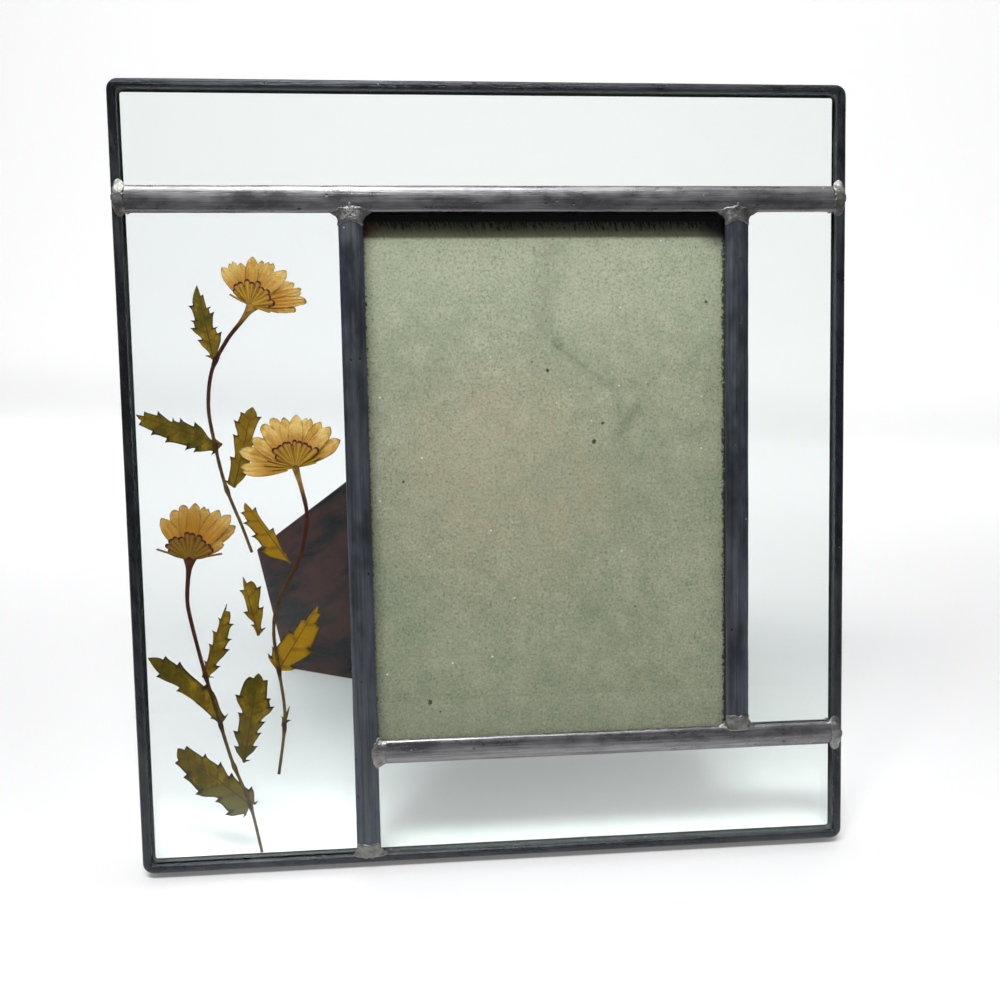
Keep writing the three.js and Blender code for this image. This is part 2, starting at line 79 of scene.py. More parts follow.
HINGE_CENTRE = Vector((91.8, 10.8, 116.2))

# ---- The pressed flowers, as the solids have them. Places are (x, z), and directions are in degrees,
# anticlockwise from the right. Petals and whiskers are each (direction, length).
HEADS = [
    {
        "base": (29.5, 133.9),
        "petals": [(125, 10.7), (112, 10.7), (100, 10), (84, 11.3), (73, 10.8), (62, 11.2), (43, 11.8),
                   (26, 11.6), (15, 12.5), (5, 13.1), (-5, 10.6)],
        "cup": {"from": 132, "to": -2, "radius": 5.8, "bracts": 9},
        "whiskers": [(150, 5.2), (-14, 6.9), (-19, 5)],
        "pale": 0.45,
    },
    {
        "base": (38.8, 95.9),
        "petals": [(181, 12.6), (161, 13.8), (145, 12.3), (126, 12.7), (113, 12.9), (102, 12.2), (88, 12.6),
                   (74, 12.2), (60, 12.4), (49, 12.7), (31, 12.4)],
        "cup": {"from": 145, "to": 35, "radius": 6.8, "bracts": 9},
        "whiskers": [(174, 7.4), (184, 5.6), (163, 7), (22, 6.4), (14, 5)],
        "pale": 0.9,
    },
    {
        "base": (13.3, 74.8),
        "petals": [(121, 11.7), (106, 12.2), (94, 13), (82, 13.5), (70, 13), (58, 13.7), (46, 14.4),
                   (35, 13.4), (24, 9)],
        "cup": {"from": 154, "to": 15, "radius": 6.4, "bracts": 10},
        "whiskers": [(160, 7.9), (9, 7.8)],
        "pale": 0.0,
    },
]
STEMS = [
    [(29.5, 133), (27.3, 130), (24, 125.9), (20.4, 119.2), (19.2, 111.1), (20, 103.6), (22.3, 92.3),
     (25.9, 82.2), (27.9, 76.1)],
    [(39, 94.9), (40.1, 90.5), (41, 85.7), (40.7, 81.3), (38.8, 74), (33.8, 64.7), (32.3, 56.9),
     (33.2, 47.4), (34.2, 36), (32.3, 22.1)],
    [(13.3, 73.9), (12.5, 66.4), (12.9, 61.3), (15.4, 49.2), (17.8, 39.7), (21.3, 26), (25.1, 15.3),
     (27.6, 3)],
]
FRONT_LAYER = 3.57
BACK_LAYER = 3.87
# The teeth on each side of a leaf, from its base up: the way along the midrib and the distance out from it.
LEAVES = {
    "leaf_1_upper": {
        "base": (20.7, 121.5), "tip": (17.6, 138.6), "depth": FRONT_LAYER,
        "left": [(1.3, 1.7), (5.2, 2.7), (8.2, 3.7), (9.8, 3.3), (13.2, 3)],
        "right": [(0.1, 2), (6, 3.3), (7.3, 2.7), (10.8, 2.7), (12.1, 2.2), (15.1, 1)],
    },
    "leaf_1_left": {
        "base": (21.9, 101.7), "tip": (2.6, 109), "depth": FRONT_LAYER,
        "left": [(1.6, 3.3), (5.7, 4), (7.6, 4.2), (12.5, 4), (16.1, 3.5), (19.4, 2)],
        "right": [(2.5, 1.4), (7.6, 3), (11, 2.8), (12.6, 2.3), (16.3, 2.6), (19.2, 1.4)],
    },
    "leaf_1_right": {
        "base": (24.2, 91.5), "tip": (29.2, 110.4), "depth": BACK_LAYER,
        "left": [(1.3, 2.9), (7, 2.6), (12.3, 3.1), (15.6, 3.7), (17.8, 2.5)],
        "right": [(4, 2.4), (8.5, 3), (12.3, 2.7), (17.8, 2.6)],
    },
    "leaf_2_right": {
        "base": (32.8, 47.2), "tip": (42.8, 62.7), "depth": FRONT_LAYER,
        "left": [(2.6, 4.3), (4.5, 4.4), (9.9, 2.9), (14.1, 1.7)],
        "right": [(3, 3.6), (8.8, 5.1), (14.8, 3), (17.3, 1.9)],
    },
    "bract_2_low": {
        "base": (33.4, 33.7), "tip": (35.3, 38.5), "depth": FRONT_LAYER,
        "left": [(2.3, 1.2)],
        "right": [(2.1, 1.6)],
    },
    "leaf_3_upright": {
        "base": (15.2, 46.4), "tip": (21.5, 63.9), "depth": FRONT_LAYER,
        "left": [(4, 1), (8.3, 1.2), (11.5, 1.4), (14.9, 1)],
        "right": [(0.9, 2.6), (3.8, 3.2), (8.4, 4), (10.9, 3.8), (14.5, 3.1), (17.1, 1.1)],
    },
    "leaf_3_left": {
        "base": (19, 34.8), "tip": (2.6, 51.5), "depth": BACK_LAYER,
        "left": [(2.9, 0.9), (8, 0.4), (13.2, 1.4), (19, 2.1)],
        "right": [(0.6, 3.1), (9.2, 5.1), (17.5, 4.5), (20.8, 3.2)],
    },
    "leaf_3_right": {
        "base": (24, 25.2), "tip": (28.3, 46.9), "depth": FRONT_LAYER,
        "left": [(3.8, 3), (7.4, 3.8), (12, 3.4), (16.2, 4.7), (21, 2)],
        "right": [(0.9, 1.5), (4.5, 2.7), (7.9, 3.1), (10.7, 3.6), (14.7, 5.1), (16.5, 4), (20.8, 2.4)],
    },
    "leaf_3_low": {
        "base": (25.1, 14.8), "tip": (8.6, 29.4), "depth": FRONT_LAYER,
        "left": [(-0.8, 3.7), (3, 5.7), (6.9, 4.7), (11.7, 6.2), (16.5, 4.7), (20.3, 3.2)],
        "right": [(-0.9, 2), (2.6, 3.8), (8.4, 3.4), (12.1, 3.9), (16.2, 3.2), (20.8, 1.8)],
    },
    "loose_leaf_upper": {
        "base": (36.7, 73.2), "tip": (26.6, 87.9), "depth": FRONT_LAYER,
        "left": [(0.2, 0.8), (6.8, 4.1), (10.5, 3.6), (14.2, 3.3), (16.5, 2.3)],
        "right": [(0.2, 1.2), (2.8, 0.9), (9.2, 1.9), (15.6, 1.5)],
    },
    "loose_leaf_lower": {
        "base": (28.6, 56), "tip": (25.5, 70.2), "depth": FRONT_LAYER,
        "left": [(3, 1.2), (6.4, 2.1), (11.7, 1.6)],
        "right": [(1.5, 2.2), (6.5, 3), (11.5, 3.7), (13.2, 1.6)],
    },
}
GOLDEN = {"leaf_2_right": 0.65, "loose_leaf_upper": 0.6, "leaf_1_right": 0.3, "loose_leaf_lower": 0.2,
          "leaf_3_upright": 0.15}  # how far each leaf has turned yellow
GREYED_LEAF = "leaf_3_low"  # grey-green along its lower right side

# ---- The panel's place: the leg's hinge says where it leans
JOINT = frame["joints"][0]
PANEL_TURN = Matrix.Rotation(-LEAN, 4, "X")
PANEL_ORIGIN = Vector(JOINT["pos_m"]) - PANEL_TURN @ (HINGE_CENTRE * MILLIMETRE)
PANEL = Matrix.Translation(PANEL_ORIGIN) @ PANEL_TURN @ Matrix.Scale(MILLIMETRE, 4)


# ---- Working on pieces
def deselect_everything():
    bpy.ops.object.select_all(action="DESELECT")


def pick(piece):
    deselect_everything()
    piece.select_set(True)
    bpy.context.view_layer.objects.active = piece


def primitive(kind, name, **settings):
    """A Blender primitive with its place and size in its mesh."""
    deselect_everything()
    getattr(bpy.ops.mesh, f"primitive_{kind}_add")(**settings)
    piece = bpy.context.object
    piece.name = piece.data.name = name
    bpy.ops.object.transform_apply()
    return piece


def block(name, low, high):
    middle = (Vector(low) + Vector(high)) / 2
    return primitive("cube", name, size=1, location=middle, scale=Vector(high) - Vector(low))


def select_in_edit(piece, kind, wanted):
    """Opens the piece for editing with only the wanted edges or faces selected."""
    pick(piece)
    bpy.ops.object.mode_set(mode="EDIT")
    bpy.ops.mesh.select_mode(type=kind)
    bpy.ops.mesh.select_all(action="DESELECT")
    cage = bmesh.from_edit_mesh(piece.data)
    for item in cage.edges if kind == "EDGE" else cage.faces:
        item.select_set(wanted(item))
    bmesh.update_edit_mesh(piece.data)


def close_edit():
    bpy.ops.object.mode_set(mode="OBJECT")


def slice_through(piece, places, normal):
    """Cuts new edge loops through the piece at these places, across the normal."""
    pick(piece)
    bpy.ops.object.mode_set(mode="EDIT")
    for place in places:
        bpy.ops.mesh.select_all(action="SELECT")
        bpy.ops.mesh.bisect(plane_co=Vector(normal) * place, plane_no=normal)
    close_edit()


def modify(piece, kind, **settings):
    pick(piece)
    modifier = piece.modifiers.new(kind.lower(), kind)
    for setting, value in settings.items():
        setattr(modifier, setting, value)
    bpy.ops.object.modifier_apply(modifier=modifier.name)


def cut(piece, cutter):
    modify(piece, "BOOLEAN", operation="DIFFERENCE", object=cutter, solver="EXACT")
    bpy.data.objects.remove(cutter)


def join(name, pieces):
    pick(pieces[0])
    for piece in pieces:
        piece.select_set(True)
    bpy.ops.object.join()
    pieces[0].name = pieces[0].data.name = name
    return pieces[0]


def wave(piece, size, depth):
    """Presses shallow hand-made unevenness into the surface, never outwards."""
    clouds = bpy.data.textures.new("unevenness", "CLOUDS")
    clouds.noise_scale = size
    modify(piece, "DISPLACE", texture=clouds, texture_coords="LOCAL", strength=depth, mid_level=1)


def smooth(piece, degrees=40):
    pick(piece)
    bpy.ops.object.shade_smooth_by_angle(angle=math.radians(degrees))


def finish_piece(piece, nodes, material, slot, body="frame"):
    """Gives a finished piece its material, hides the solids that it stands for and puts it on the body that
    carries it.
    """
    piece.data.materials.clear()
    piece.data.materials.append(material)
    if nodes:
        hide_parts(*nodes)
    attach(piece, body)
    return piece


def settle(piece, nodes, material, slot, body="frame"):
    piece.data.transform(PANEL)
    return finish_piece(piece, nodes, material, slot, body)


def softened(node, name, width, material, slot, body="frame"):
    """A copy of a solid with its corners eased, as on cut and folded metal."""
    piece = frame["nodes"][node].copy()
    piece.data = piece.data.copy()
    piece.parent = None
    for key in list(piece.keys()):
        del piece[key]
    piece.name = piece.data.name = name
    bpy.context.scene.collection.objects.link(piece)
    piece.data.transform(Matrix.Scale(1 / MILLIMETRE, 4))
    select_in_edit(piece, "FACE", lambda face: True)
    bpy.ops.mesh.remove_doubles(threshold=0.001)
    bpy.ops.mesh.dissolve_limited(angle_limit=math.radians(1))
    close_edit()
    modify(piece, "BEVEL", width=width, segments=2, limit_method="ANGLE", angle_limit=math.radians(35))
    smooth(piece)
    piece.data.transform(Matrix.Scale(MILLIMETRE, 4))
    return finish_piece(piece, [node], material, slot, body)


def shaped_grid(name, across, along, place, chart=None):
    """A grid whose corner (u, v) goes to place(u, v). chart(u, v) is the corner's place on the UV map."""
    sheet = primitive("grid", name, x_subdivisions=across, y_subdivisions=along, size=1)
    spots = [(corner.co.x + 0.5, corner.co.y + 0.5) for corner in sheet.data.vertices]
    for corner, (u, v) in zip(sheet.data.vertices, spots):
        corner.co = place(u, v)
    if chart:
        layer = sheet.data.uv_layers.active.data
        for loop in sheet.data.loops:
            layer[loop.index].uv = chart(*spots[loop.vertex_index])
    return sheet


def mark(piece, name, value):
    attribute = piece.data.attributes.new(name, "FLOAT", "POINT")
    attribute.data.foreach_set("value", [value] * len(piece.data.vertices))


def ramp_up(value, low, high):
    t = min(1, max(0, (value - low) / (high - low)))
    return t * t * (3 - 2 * t)


# ---- Colours and node trees
def colour(red, green, blue):
    """A colour written from 0 to 255, as the light that Blender works in."""
    def straight(part):
        part = part / 255
        return part / 12.92 if part <= 0.04045 else ((part + 0.055) / 1.055) ** 2.4
    return (straight(red), straight(green), straight(blue), 1)


class Wiring:
    """A node tree with short ways to add the nodes that the finishes need."""

    def __init__(self, tree):
        self.tree = tree

    def node(self, kind, **settings):
        made = self.tree.nodes.new(kind)
        for setting, value in settings.items():
            setattr(made, setting, value)
        return made

    def feed(self, socket, value):
        if isinstance(value, bpy.types.NodeSocket):
            self.tree.links.new(value, socket)
        else:
            socket.default_value = value

    def math(self, kind, first, second=0.0, clamp=False):
        node = self.node("ShaderNodeMath", operation=kind, use_clamp=clamp)
        self.feed(node.inputs[0], first)
        self.feed(node.inputs[1], second)
        return node.outputs[0]

    def mapped(self, value, low, high, to_low=0.0, to_high=1.0):
        node = self.node("ShaderNodeMapRange", interpolation_type="SMOOTHSTEP")
        for socket, number in zip(node.inputs, (value, low, high, to_low, to_high)):
            self.feed(socket, number)
        return node.outputs[0]

    def noise(self, place, scale, detail=4.0, roughness=0.6):
        node = self.node("ShaderNodeTexNoise")
        self.feed(node.inputs["Vector"], place)
        self.feed(node.inputs["Scale"], scale)
        node.inputs["Detail"].default_value = detail
        node.inputs["Roughness"].default_value = roughness
        return node.outputs["Fac"]

    def stretched(self, place, scale):
        node = self.node("ShaderNodeMapping")
        self.feed(node.inputs["Vector"], place)
        node.inputs["Scale"].default_value = scale
        return node.outputs["Vector"]

    def split(self, vector):
        node = self.node("ShaderNodeSeparateXYZ")
        self.feed(node.inputs[0], vector)
        return node.outputs

    def blend(self, amount, under, over):
        node = self.node("ShaderNodeMix", data_type="RGBA", clamp_factor=True)
        self.feed(node.inputs["Factor"], amount)
        self.feed(node.inputs[6], under)
        self.feed(node.inputs[7], over)
        return node.outputs[2]

    def bump(self, height, strength, distance):
        node = self.node("ShaderNodeBump")
        self.feed(node.inputs["Height"], height)
        node.inputs["Strength"].default_value = strength
        node.inputs["Distance"].default_value = distance
        return node.outputs["Normal"]

    def group(self, tree, **values):
        node = self.node("ShaderNodeGroup", node_tree=tree)
        for label, value in values.items():
            self.feed(node.inputs[label.replace("_", " ").capitalize()], value)
        return node.outputs

    def panel_place(self, turned=False):
        """Panel millimetres from the piece's own metres; turned, the first of them runs up the panel."""
        coordinates = self.node("ShaderNodeTexCoord")
        node = self.node("ShaderNodeMapping", vector_type="TEXTURE")
        turn = PANEL_TURN @ Matrix.Rotation(-math.pi / 2, 4, "Y") if turned else PANEL_TURN
        self.feed(node.inputs["Vector"], coordinates.outputs["Object"])
        node.inputs["Location"].default_value = PANEL_ORIGIN
        node.inputs["Rotation"].default_value = turn.to_euler()
        node.inputs["Scale"].default_value = (MILLIMETRE,) * 3
        return node.outputs["Vector"]


def effect(name, inputs, output):
    """An empty shader node group and its wiring. inputs are names with their starting values."""
    tree = bpy.data.node_groups.new(name, "ShaderNodeTree")
    for label, start in inputs.items():
        kind = "NodeSocketVector" if start is None else "NodeSocketFloat"
        socket = tree.interface.new_socket(label, in_out="INPUT", socket_type=kind)
        if start is not None:
            socket.default_value = start
    tree.interface.new_socket(output, in_out="OUTPUT", socket_type="NodeSocketFloat")
    wiring = Wiring(tree)
    return tree, wiring, wiring.node("NodeGroupInput").outputs, wiring.node("NodeGroupOutput").inputs


def mottle_effect():
    """Soft uneven tone: broad clouds with finer ones inside them."""
    tree, w, given, result = effect("mottle", {"Place": None, "Size": 10.0, "Contrast": 1.0}, "Tone")
    broad = w.noise(given["Place"], w.math("DIVIDE", 1.0, given["Size"]), 3.0)
    fine = w.noise(given["Place"], w.math("DIVIDE", 5.0, given["Size"]), 5.0, 0.7)
    both = w.math("ADD", w.math("MULTIPLY", broad, 0.65), w.math("MULTIPLY", fine, 0.35))
    centred = w.math("MULTIPLY", w.math("SUBTRACT", both, 0.5), given["Contrast"])
    w.feed(result["Tone"], w.math("ADD", centred, 0.5, clamp=True))
    return tree


def scratch_effect():
    """Thin broken lines along the first of the coordinates."""
    tree, w, given, result = effect("scratches", {"Place": None, "Spacing": 1.0, "Amount": 0.5}, "Lines")
    scale = w.math("DIVIDE", 1.0, given["Spacing"])
    lines = w.noise(w.stretched(given["Place"], (0.035, 1, 1)), scale, 6.0, 0.75)
    breaks = w.noise(w.stretched(given["Place"], (0.12, 0.8, 0.8)), scale, 2.0)
    limit = w.math("SUBTRACT", 0.78, w.math("MULTIPLY", given["Amount"], 0.22))
    sharp = w.mapped(lines, limit, w.math("ADD", limit, 0.04))
    w.feed(result["Lines"], w.math("MULTIPLY", sharp, w.mapped(breaks, 0.42, 0.6)))
    return tree


def speck_effect():
    """Small scattered dots, each in its own cell, of uneven size."""
    tree, w, given, result = effect("specks", {"Place": None, "Spacing": 1.0, "Size": 0.1, "Share": 0.5},
                                    "Dots")
    cells = w.node("ShaderNodeTexVoronoi")
    w.feed(cells.inputs["Vector"], given["Place"])
    w.feed(cells.inputs["Scale"], w.math("DIVIDE", 1.0, given["Spacing"]))
    drawn = w.split(cells.outputs["Color"])
    kept = w.math("LESS_THAN", drawn[0], given["Share"])
    reach = w.math("MULTIPLY", given["Size"], w.math("ADD", drawn[1], 0.4))
    dot = w.mapped(cells.outputs["Distance"], w.math("MULTIPLY", reach, 0.6), reach, 1.0, 0.0)
    w.feed(result["Dots"], w.math("MULTIPLY", dot, kept))
    return tree


def margin_effect():
    """How near a blade's outer edge a point is, from its UV map's first coordinate."""
    tree, w, given, result = effect("margin", {"Across": 0.5, "Width": 0.1}, "Edge")
    out = w.math("ABSOLUTE", w.math("SUBTRACT", w.math("MULTIPLY", given["Across"], 2.0), 1.0))
    w.feed(result["Edge"], w.mapped(out, w.math("SUBTRACT", 1.0, given["Width"]), 1.0))
    return tree


MOTTLE = mottle_effect()
SCRATCHES = scratch_effect()
SPECKS = speck_effect()
MARGIN = margin_effect()


def finish(name, roughness=0.5, **plain):
    """A material with its wiring and its Principled shader."""
    material = bpy.data.materials.new(name)
    material.use_nodes = True
    shader = material.node_tree.nodes["Principled BSDF"]
    shader.inputs["Roughness"].default_value = roughness
    for label, value in plain.items():
        shader.inputs[label.replace("_", " ")].default_value = value
    return material, Wiring(material.node_tree), shader.inputs


# ---- Finishes of the metal
def round_the_frame(w):
    """Coordinates that follow the border: the way along it, the depth and the distance in from its edge."""
    x, y, z = w.split(w.panel_place())
    across = w.math("MINIMUM", x, w.math("SUBTRACT", FRAME_WIDTH, x))
    up = w.math("MINIMUM", z, w.math("SUBTRACT", FRAME_HEIGHT, z))
    chart = w.node("ShaderNodeCombineXYZ")
    w.feed(chart.inputs[0], w.math("ADD", x, z))
    w.feed(chart.inputs[1], y)
    w.feed(chart.inputs[2], w.math("MINIMUM", across, up))
    return chart.outputs[0]


def patina_finish(name, run, dark, light, roughness, grooves=0.00012):
    """Grey-blue patina on drawn lead: lengthwise draw lines, rubbed patches, white scratches and specks."""
    material, w, shader = finish(name, Metallic=0.7)
    place = round_the_frame(w) if run == "round" else w.panel_place(run == "up")
    cloud = w.group(MOTTLE, place=w.stretched(place, (0.4, 1, 1)), size=7.0, contrast=2.6)["Tone"]
    drawn = w.noise(w.stretched(place, (0.02, 1, 1)), 1.6, 5.0, 0.7)
    rubbed = w.group(SCRATCHES, place=place, spacing=1.3, amount=0.62)["Lines"]
    scores = w.group(SCRATCHES, place=w.stretched(place, (1, 1, 2.2)), spacing=0.7, amount=0.35)["Lines"]
    dots = w.group(SPECKS, place=place, spacing=2.9, size=0.055, share=0.3)["Dots"]
    pits = w.group(SPECKS, place=w.stretched(place, (0.6, 1, 1)), spacing=1.9, size=0.13, share=0.35)["Dots"]
    nicks = w.mapped(w.noise(w.stretched(place, (0.6, 1, 1)), 1.7, 6.0, 0.85), 0.685, 0.72)
    base = w.blend(cloud, dark, light)
    base = w.blend(w.mapped(drawn, 0.35, 0.65, 0.0, 0.5), base, colour(52, 54, 62))
    base = w.blend(w.math("MULTIPLY", rubbed, 0.45), base, colour(150, 151, 156))
    base = w.blend(w.math("MULTIPLY", pits, 0.7), base, colour(22, 23, 27))
    base = w.blend(w.math("MAXIMUM", w.math("MAXIMUM", scores, dots), nicks), base, colour(215, 215, 214))
    w.feed(shader["Base Color"], base)
    w.feed(shader["Roughness"], w.mapped(cloud, 0.2, 0.8, roughness - 0.08, roughness + 0.12))
    height = w.math("ADD", drawn, w.math("MULTIPLY", cloud, 0.8))
    height = w.math("SUBTRACT", height, w.math("MULTIPLY", pits, 0.8))
    w.feed(shader["Normal"], w.bump(height, 0.5, grooves))
    return material


def solder_finish():
    """Soft silver solder, dulled in its hollows."""
    material, w, shader = finish("solder_silver", Metallic=0.9)
    place = w.panel_place()
    cloud = w.group(MOTTLE, place=place, size=2.2, contrast=2.4)["Tone"]
    grain = w.noise(place, 3.0, 5.0, 0.7)
    pits = w.group(SPECKS, place=place, spacing=1.1, size=0.16, share=0.3)["Dots"]
    base = w.blend(cloud, colour(98, 98, 98), colour(176, 175, 170))
    base = w.blend(w.math("MULTIPLY", pits, 0.8), base, colour(36, 34, 34))
    w.feed(shader["Base Color"], base)
    w.feed(shader["Roughness"], w.mapped(grain, 0.3, 0.7, 0.26, 0.5))
    w.feed(shader["Normal"], w.bump(w.math("ADD", grain, cloud), 0.4, 0.0002))
    return material


def lacquer_finish():
    """Near-black brown lacquer over sheet metal, with slanting maroon streaks of painted reflection, dust and
    worn spots.
    """
    material, w, shader = finish("dark_lacquer", Specular_IOR_Level=0.2)
    place = w.panel_place()
    x, y, z = w.split(place)
    slanted = w.node("ShaderNodeCombineXYZ")
    w.feed(slanted.inputs[0], w.math("MULTIPLY", w.math("SUBTRACT", z, w.math("MULTIPLY", x, 0.62)), 0.085))
    w.feed(slanted.inputs[1], w.math("MULTIPLY", y, 0.05))
    w.feed(slanted.inputs[2], w.math("MULTIPLY", w.math("ADD", x, z), 0.012))
    # Painted reflection: slanting maroon streaks on the glossy lacquer.
    painted_reflection_streak = w.noise(slanted.outputs[0], 1.0, 3.0, 0.55)
    cloud = w.group(MOTTLE, place=place, size=9.0, contrast=3.0)["Tone"]
    dust = w.group(SPECKS, place=place, spacing=2.2, size=0.06, share=0.4)["Dots"]
    scores = w.group(SCRATCHES, place=w.stretched(place, (1, 1, 1.3)), spacing=1.1, amount=0.3)["Lines"]
    base = w.blend(w.mapped(painted_reflection_streak, 0.44, 0.58), colour(4, 5, 7), colour(74, 40, 32))
    base = w.blend(w.mapped(cloud, 0.3, 0.9, 0.0, 0.5), base, colour(16, 12, 12))
    base = w.blend(w.math("MULTIPLY", w.math("MAXIMUM", dust, scores), 0.5), base, colour(150, 140, 132))
    w.feed(shader["Base Color"], base)
    w.feed(shader["Roughness"], w.mapped(painted_reflection_streak, 0.3, 0.7, 0.22, 0.4))
    w.feed(shader["Normal"], w.bump(cloud, 0.12, 0.0004))
    return material


def steel_finish():
    material, w, shader = finish("dull_steel", Metallic=1.0)
    place = w.panel_place()
    cloud = w.group(MOTTLE, place=place, size=2.0, contrast=2.0)["Tone"]
    w.feed(shader["Base Color"], w.blend(cloud, colour(96, 95, 96), colour(158, 157, 156)))
    w.feed(shader["Roughness"], w.mapped(cloud, 0.2, 0.8, 0.25, 0.5))
    return material


# ---- Finishes of the glass and the board
def glass_finish(name, tint, shade):
    """Clear glass that lamps shine through."""
    material, w, _ = finish(name, roughness=0.0, IOR=1.5, Transmission_Weight=1.0, Base_Color=tint,
                            Specular_IOR_Level=0.3)
    tree = material.node_tree
    clear = w.node("ShaderNodeBsdfTransparent")
    clear.inputs["Color"].default_value = shade
    rays = w.node("ShaderNodeLightPath")
    either = w.node("ShaderNodeMixShader")
    glass = tree.nodes["Principled BSDF"]
    tree.links.new(rays.outputs["Is Shadow Ray"], either.inputs[0])
    tree.links.new(glass.outputs[0], either.inputs[1])
    tree.links.new(clear.outputs[0], either.inputs[2])
    tree.links.new(either.outputs[0], tree.nodes["Material Output"].inputs["Surface"])
    return material


def ground_finish():
    """The cut sides of the glass, dull and dark green, with chips and grit."""
    material, w, shader = finish("ground_glass_side", roughness=0.55)
    place = w.panel_place()
    cloud = w.group(MOTTLE, place=place, size=1.6, contrast=2.6)["Tone"]
    grit = w.group(SPECKS, place=place, spacing=1.3, size=0.16, share=0.3)["Dots"]
    base = w.blend(cloud, colour(18, 26, 27), colour(52, 68, 66))
    w.feed(shader["Base Color"], w.blend(grit, base, colour(150, 160, 154)))
    return material


WARM_MIDDLE = (87, 90)
WARM_REACH = 38.0
# Black marks, each (x, z, radius), and smudges, each (start, end, width, depth of tone).
BOARD_MARKS = [(110.2, 100.7, 0.6), (112.4, 105.2, 0.5), (99.1, 118, 0.5), (69, 38, 0.6), (71.5, 35.6, 0.35),
               (95.4, 120.1, 0.3), (120, 60, 0.3), (64, 92, 0.35), (138, 134, 0.4)]
BOARD_SMUDGES = [((101, 124), (116, 113), 1.7, 0.3), ((101, 125), (102, 124), 2.4, 0.3),
                 ((100, 146), (98, 128), 6.0, 0.24), ((121, 109), (115, 101), 2.2, 0.28)]


def board_tones(w, place, x, z):
    """Clouds of grey-green with a warm middle, with painted shade darkening it to the right and below and
    painted light lightening it above.
    """
    broad = w.group(MOTTLE, place=place, size=40.0, contrast=2.2)["Tone"]
    patch = w.group(MOTTLE, place=place, size=11.0, contrast=2.6)["Tone"]
    small = w.group(MOTTLE, place=place, size=5.0, contrast=3.0)["Tone"]
    base = w.blend(broad, colour(140, 145, 121), colour(176, 172, 150))
    base = w.blend(w.mapped(patch, 0.2, 0.8, 0.0, 0.4), base, colour(132, 138, 114))
    base = w.blend(w.mapped(small, 0.5, 0.85, 0.0, 0.35), base, colour(112, 128, 104))
    base = w.blend(w.mapped(small, 0.45, 0.15, 0.0, 0.3), base, colour(190, 184, 162))
    away = w.math("DIVIDE", distance_from(w, x, z, WARM_MIDDLE), WARM_REACH)
    warm = w.math("SUBTRACT", 1.0, away, clamp=True)
    warm = w.math("MULTIPLY", w.mapped(warm, 0.0, 0.7), w.mapped(patch, 0.3, 0.7, 0.25, 0.6))
    base = w.blend(warm, base, colour(190, 168, 144))
    # Painted shade: darker towards the right side and the bottom.
    edge = w.math("MAXIMUM", w.mapped(x, 128, 143, 0.0, 0.3), w.mapped(z, 60, 32, 0.0, 0.36))
    edge = w.math("MAXIMUM", edge, w.mapped(z, 125, 92, 0.0, 0.16))
    base = w.blend(edge, base, colour(104, 112, 88))
    # Painted light: lighter towards the top.
    return w.blend(w.mapped(z, 112, 142, 0.0, 0.4), base, colour(186, 190, 166))


def board_grain(w, place, base, pulp, grain):
    """The pulp's light and dark, pale fibres, dark dots and lint."""
    base = w.blend(w.mapped(pulp, 0.5, 0.66, 0.0, 0.7), base, colour(92, 100, 78))
    base = w.blend(w.mapped(pulp, 0.48, 0.3, 0.0, 0.5), base, colour(194, 194, 174))
    base = w.blend(w.mapped(grain, 0.54, 0.66, 0.0, 0.6), base, colour(74, 78, 58))
    base = w.blend(w.mapped(grain, 0.46, 0.3, 0.0, 0.45), base, colour(206, 206, 188))
    fibres = w.group(SCRATCHES, place=w.stretched(place, (5, 1, 1)), spacing=0.7, amount=0.4)["Lines"]
    base = w.blend(w.math("MULTIPLY", fibres, 0.4), base, colour(214, 214, 198))
    dots = w.group(SPECKS, place=place, spacing=1.9, size=0.075, share=0.6)["Dots"]
    lint = w.group(SPECKS, place=w.stretched(place, (1, 1, 1.01)), spacing=5.2, size=0.04, share=0.5)["Dots"]
    base = w.blend(w.math("MULTIPLY", dots, 0.8), base, colour(56, 56, 42))
    return w.blend(lint, base, colour(232, 232, 222))


def board_scuffs(w, x, z, base, ragged):
    """Soft smudges and small black marks."""
    for start, end, width, depth in BOARD_SMUDGES:
        uneven = w.math("MULTIPLY", ragged, 1.2 * width)
        away = w.math("ADD", distance_from_line(w, x, z, start, end), uneven)
        base = w.blend(w.mapped(away, width, -0.2 * width, 0.0, depth), base, colour(70, 82, 66))
    for across, up, radius in BOARD_MARKS:
        reach = w.math("ADD", distance_from(w, x, z, (across, up)), w.math("MULTIPLY", ragged, radius))
        base = w.blend(w.mapped(reach, radius, radius * 0.6, 0.0, 0.9), base, colour(28, 26, 20))
    return base


def board_sides(w, place, x, z, base, ragged):
    """Rust low down the right side, and painted shade in ragged bites along both sides, next to the cames."""
    rusty_edge = w.mapped(w.math("ADD", x, w.math("MULTIPLY", ragged, 0.5)), 142.1, 142.7)
    rust = w.math("MULTIPLY", rusty_edge, w.mapped(z, 84, 66))
    base = w.blend(w.math("MULTIPLY", rust, 0.85), base, colour(140, 84, 30))
    # Painted shade: a dark ragged line along both came edges, broken into bites by noise.
    from_left = w.math("SUBTRACT", x, LEFT_UPRIGHT + 3)
    from_right = w.math("SUBTRACT", RIGHT_UPRIGHT - 3, x)
    side = w.math("MINIMUM", from_left, from_right)
    bites = w.math("SUBTRACT", w.noise(place, 1.3, 5.0, 0.8), 0.36)
    painted_shade_reach = w.math("ADD", side, w.math("MULTIPLY", bites, 4.5))
    return w.blend(w.mapped(painted_shade_reach, 0.35, 0.1, 0.0, 0.85), base, colour(14, 13, 10))


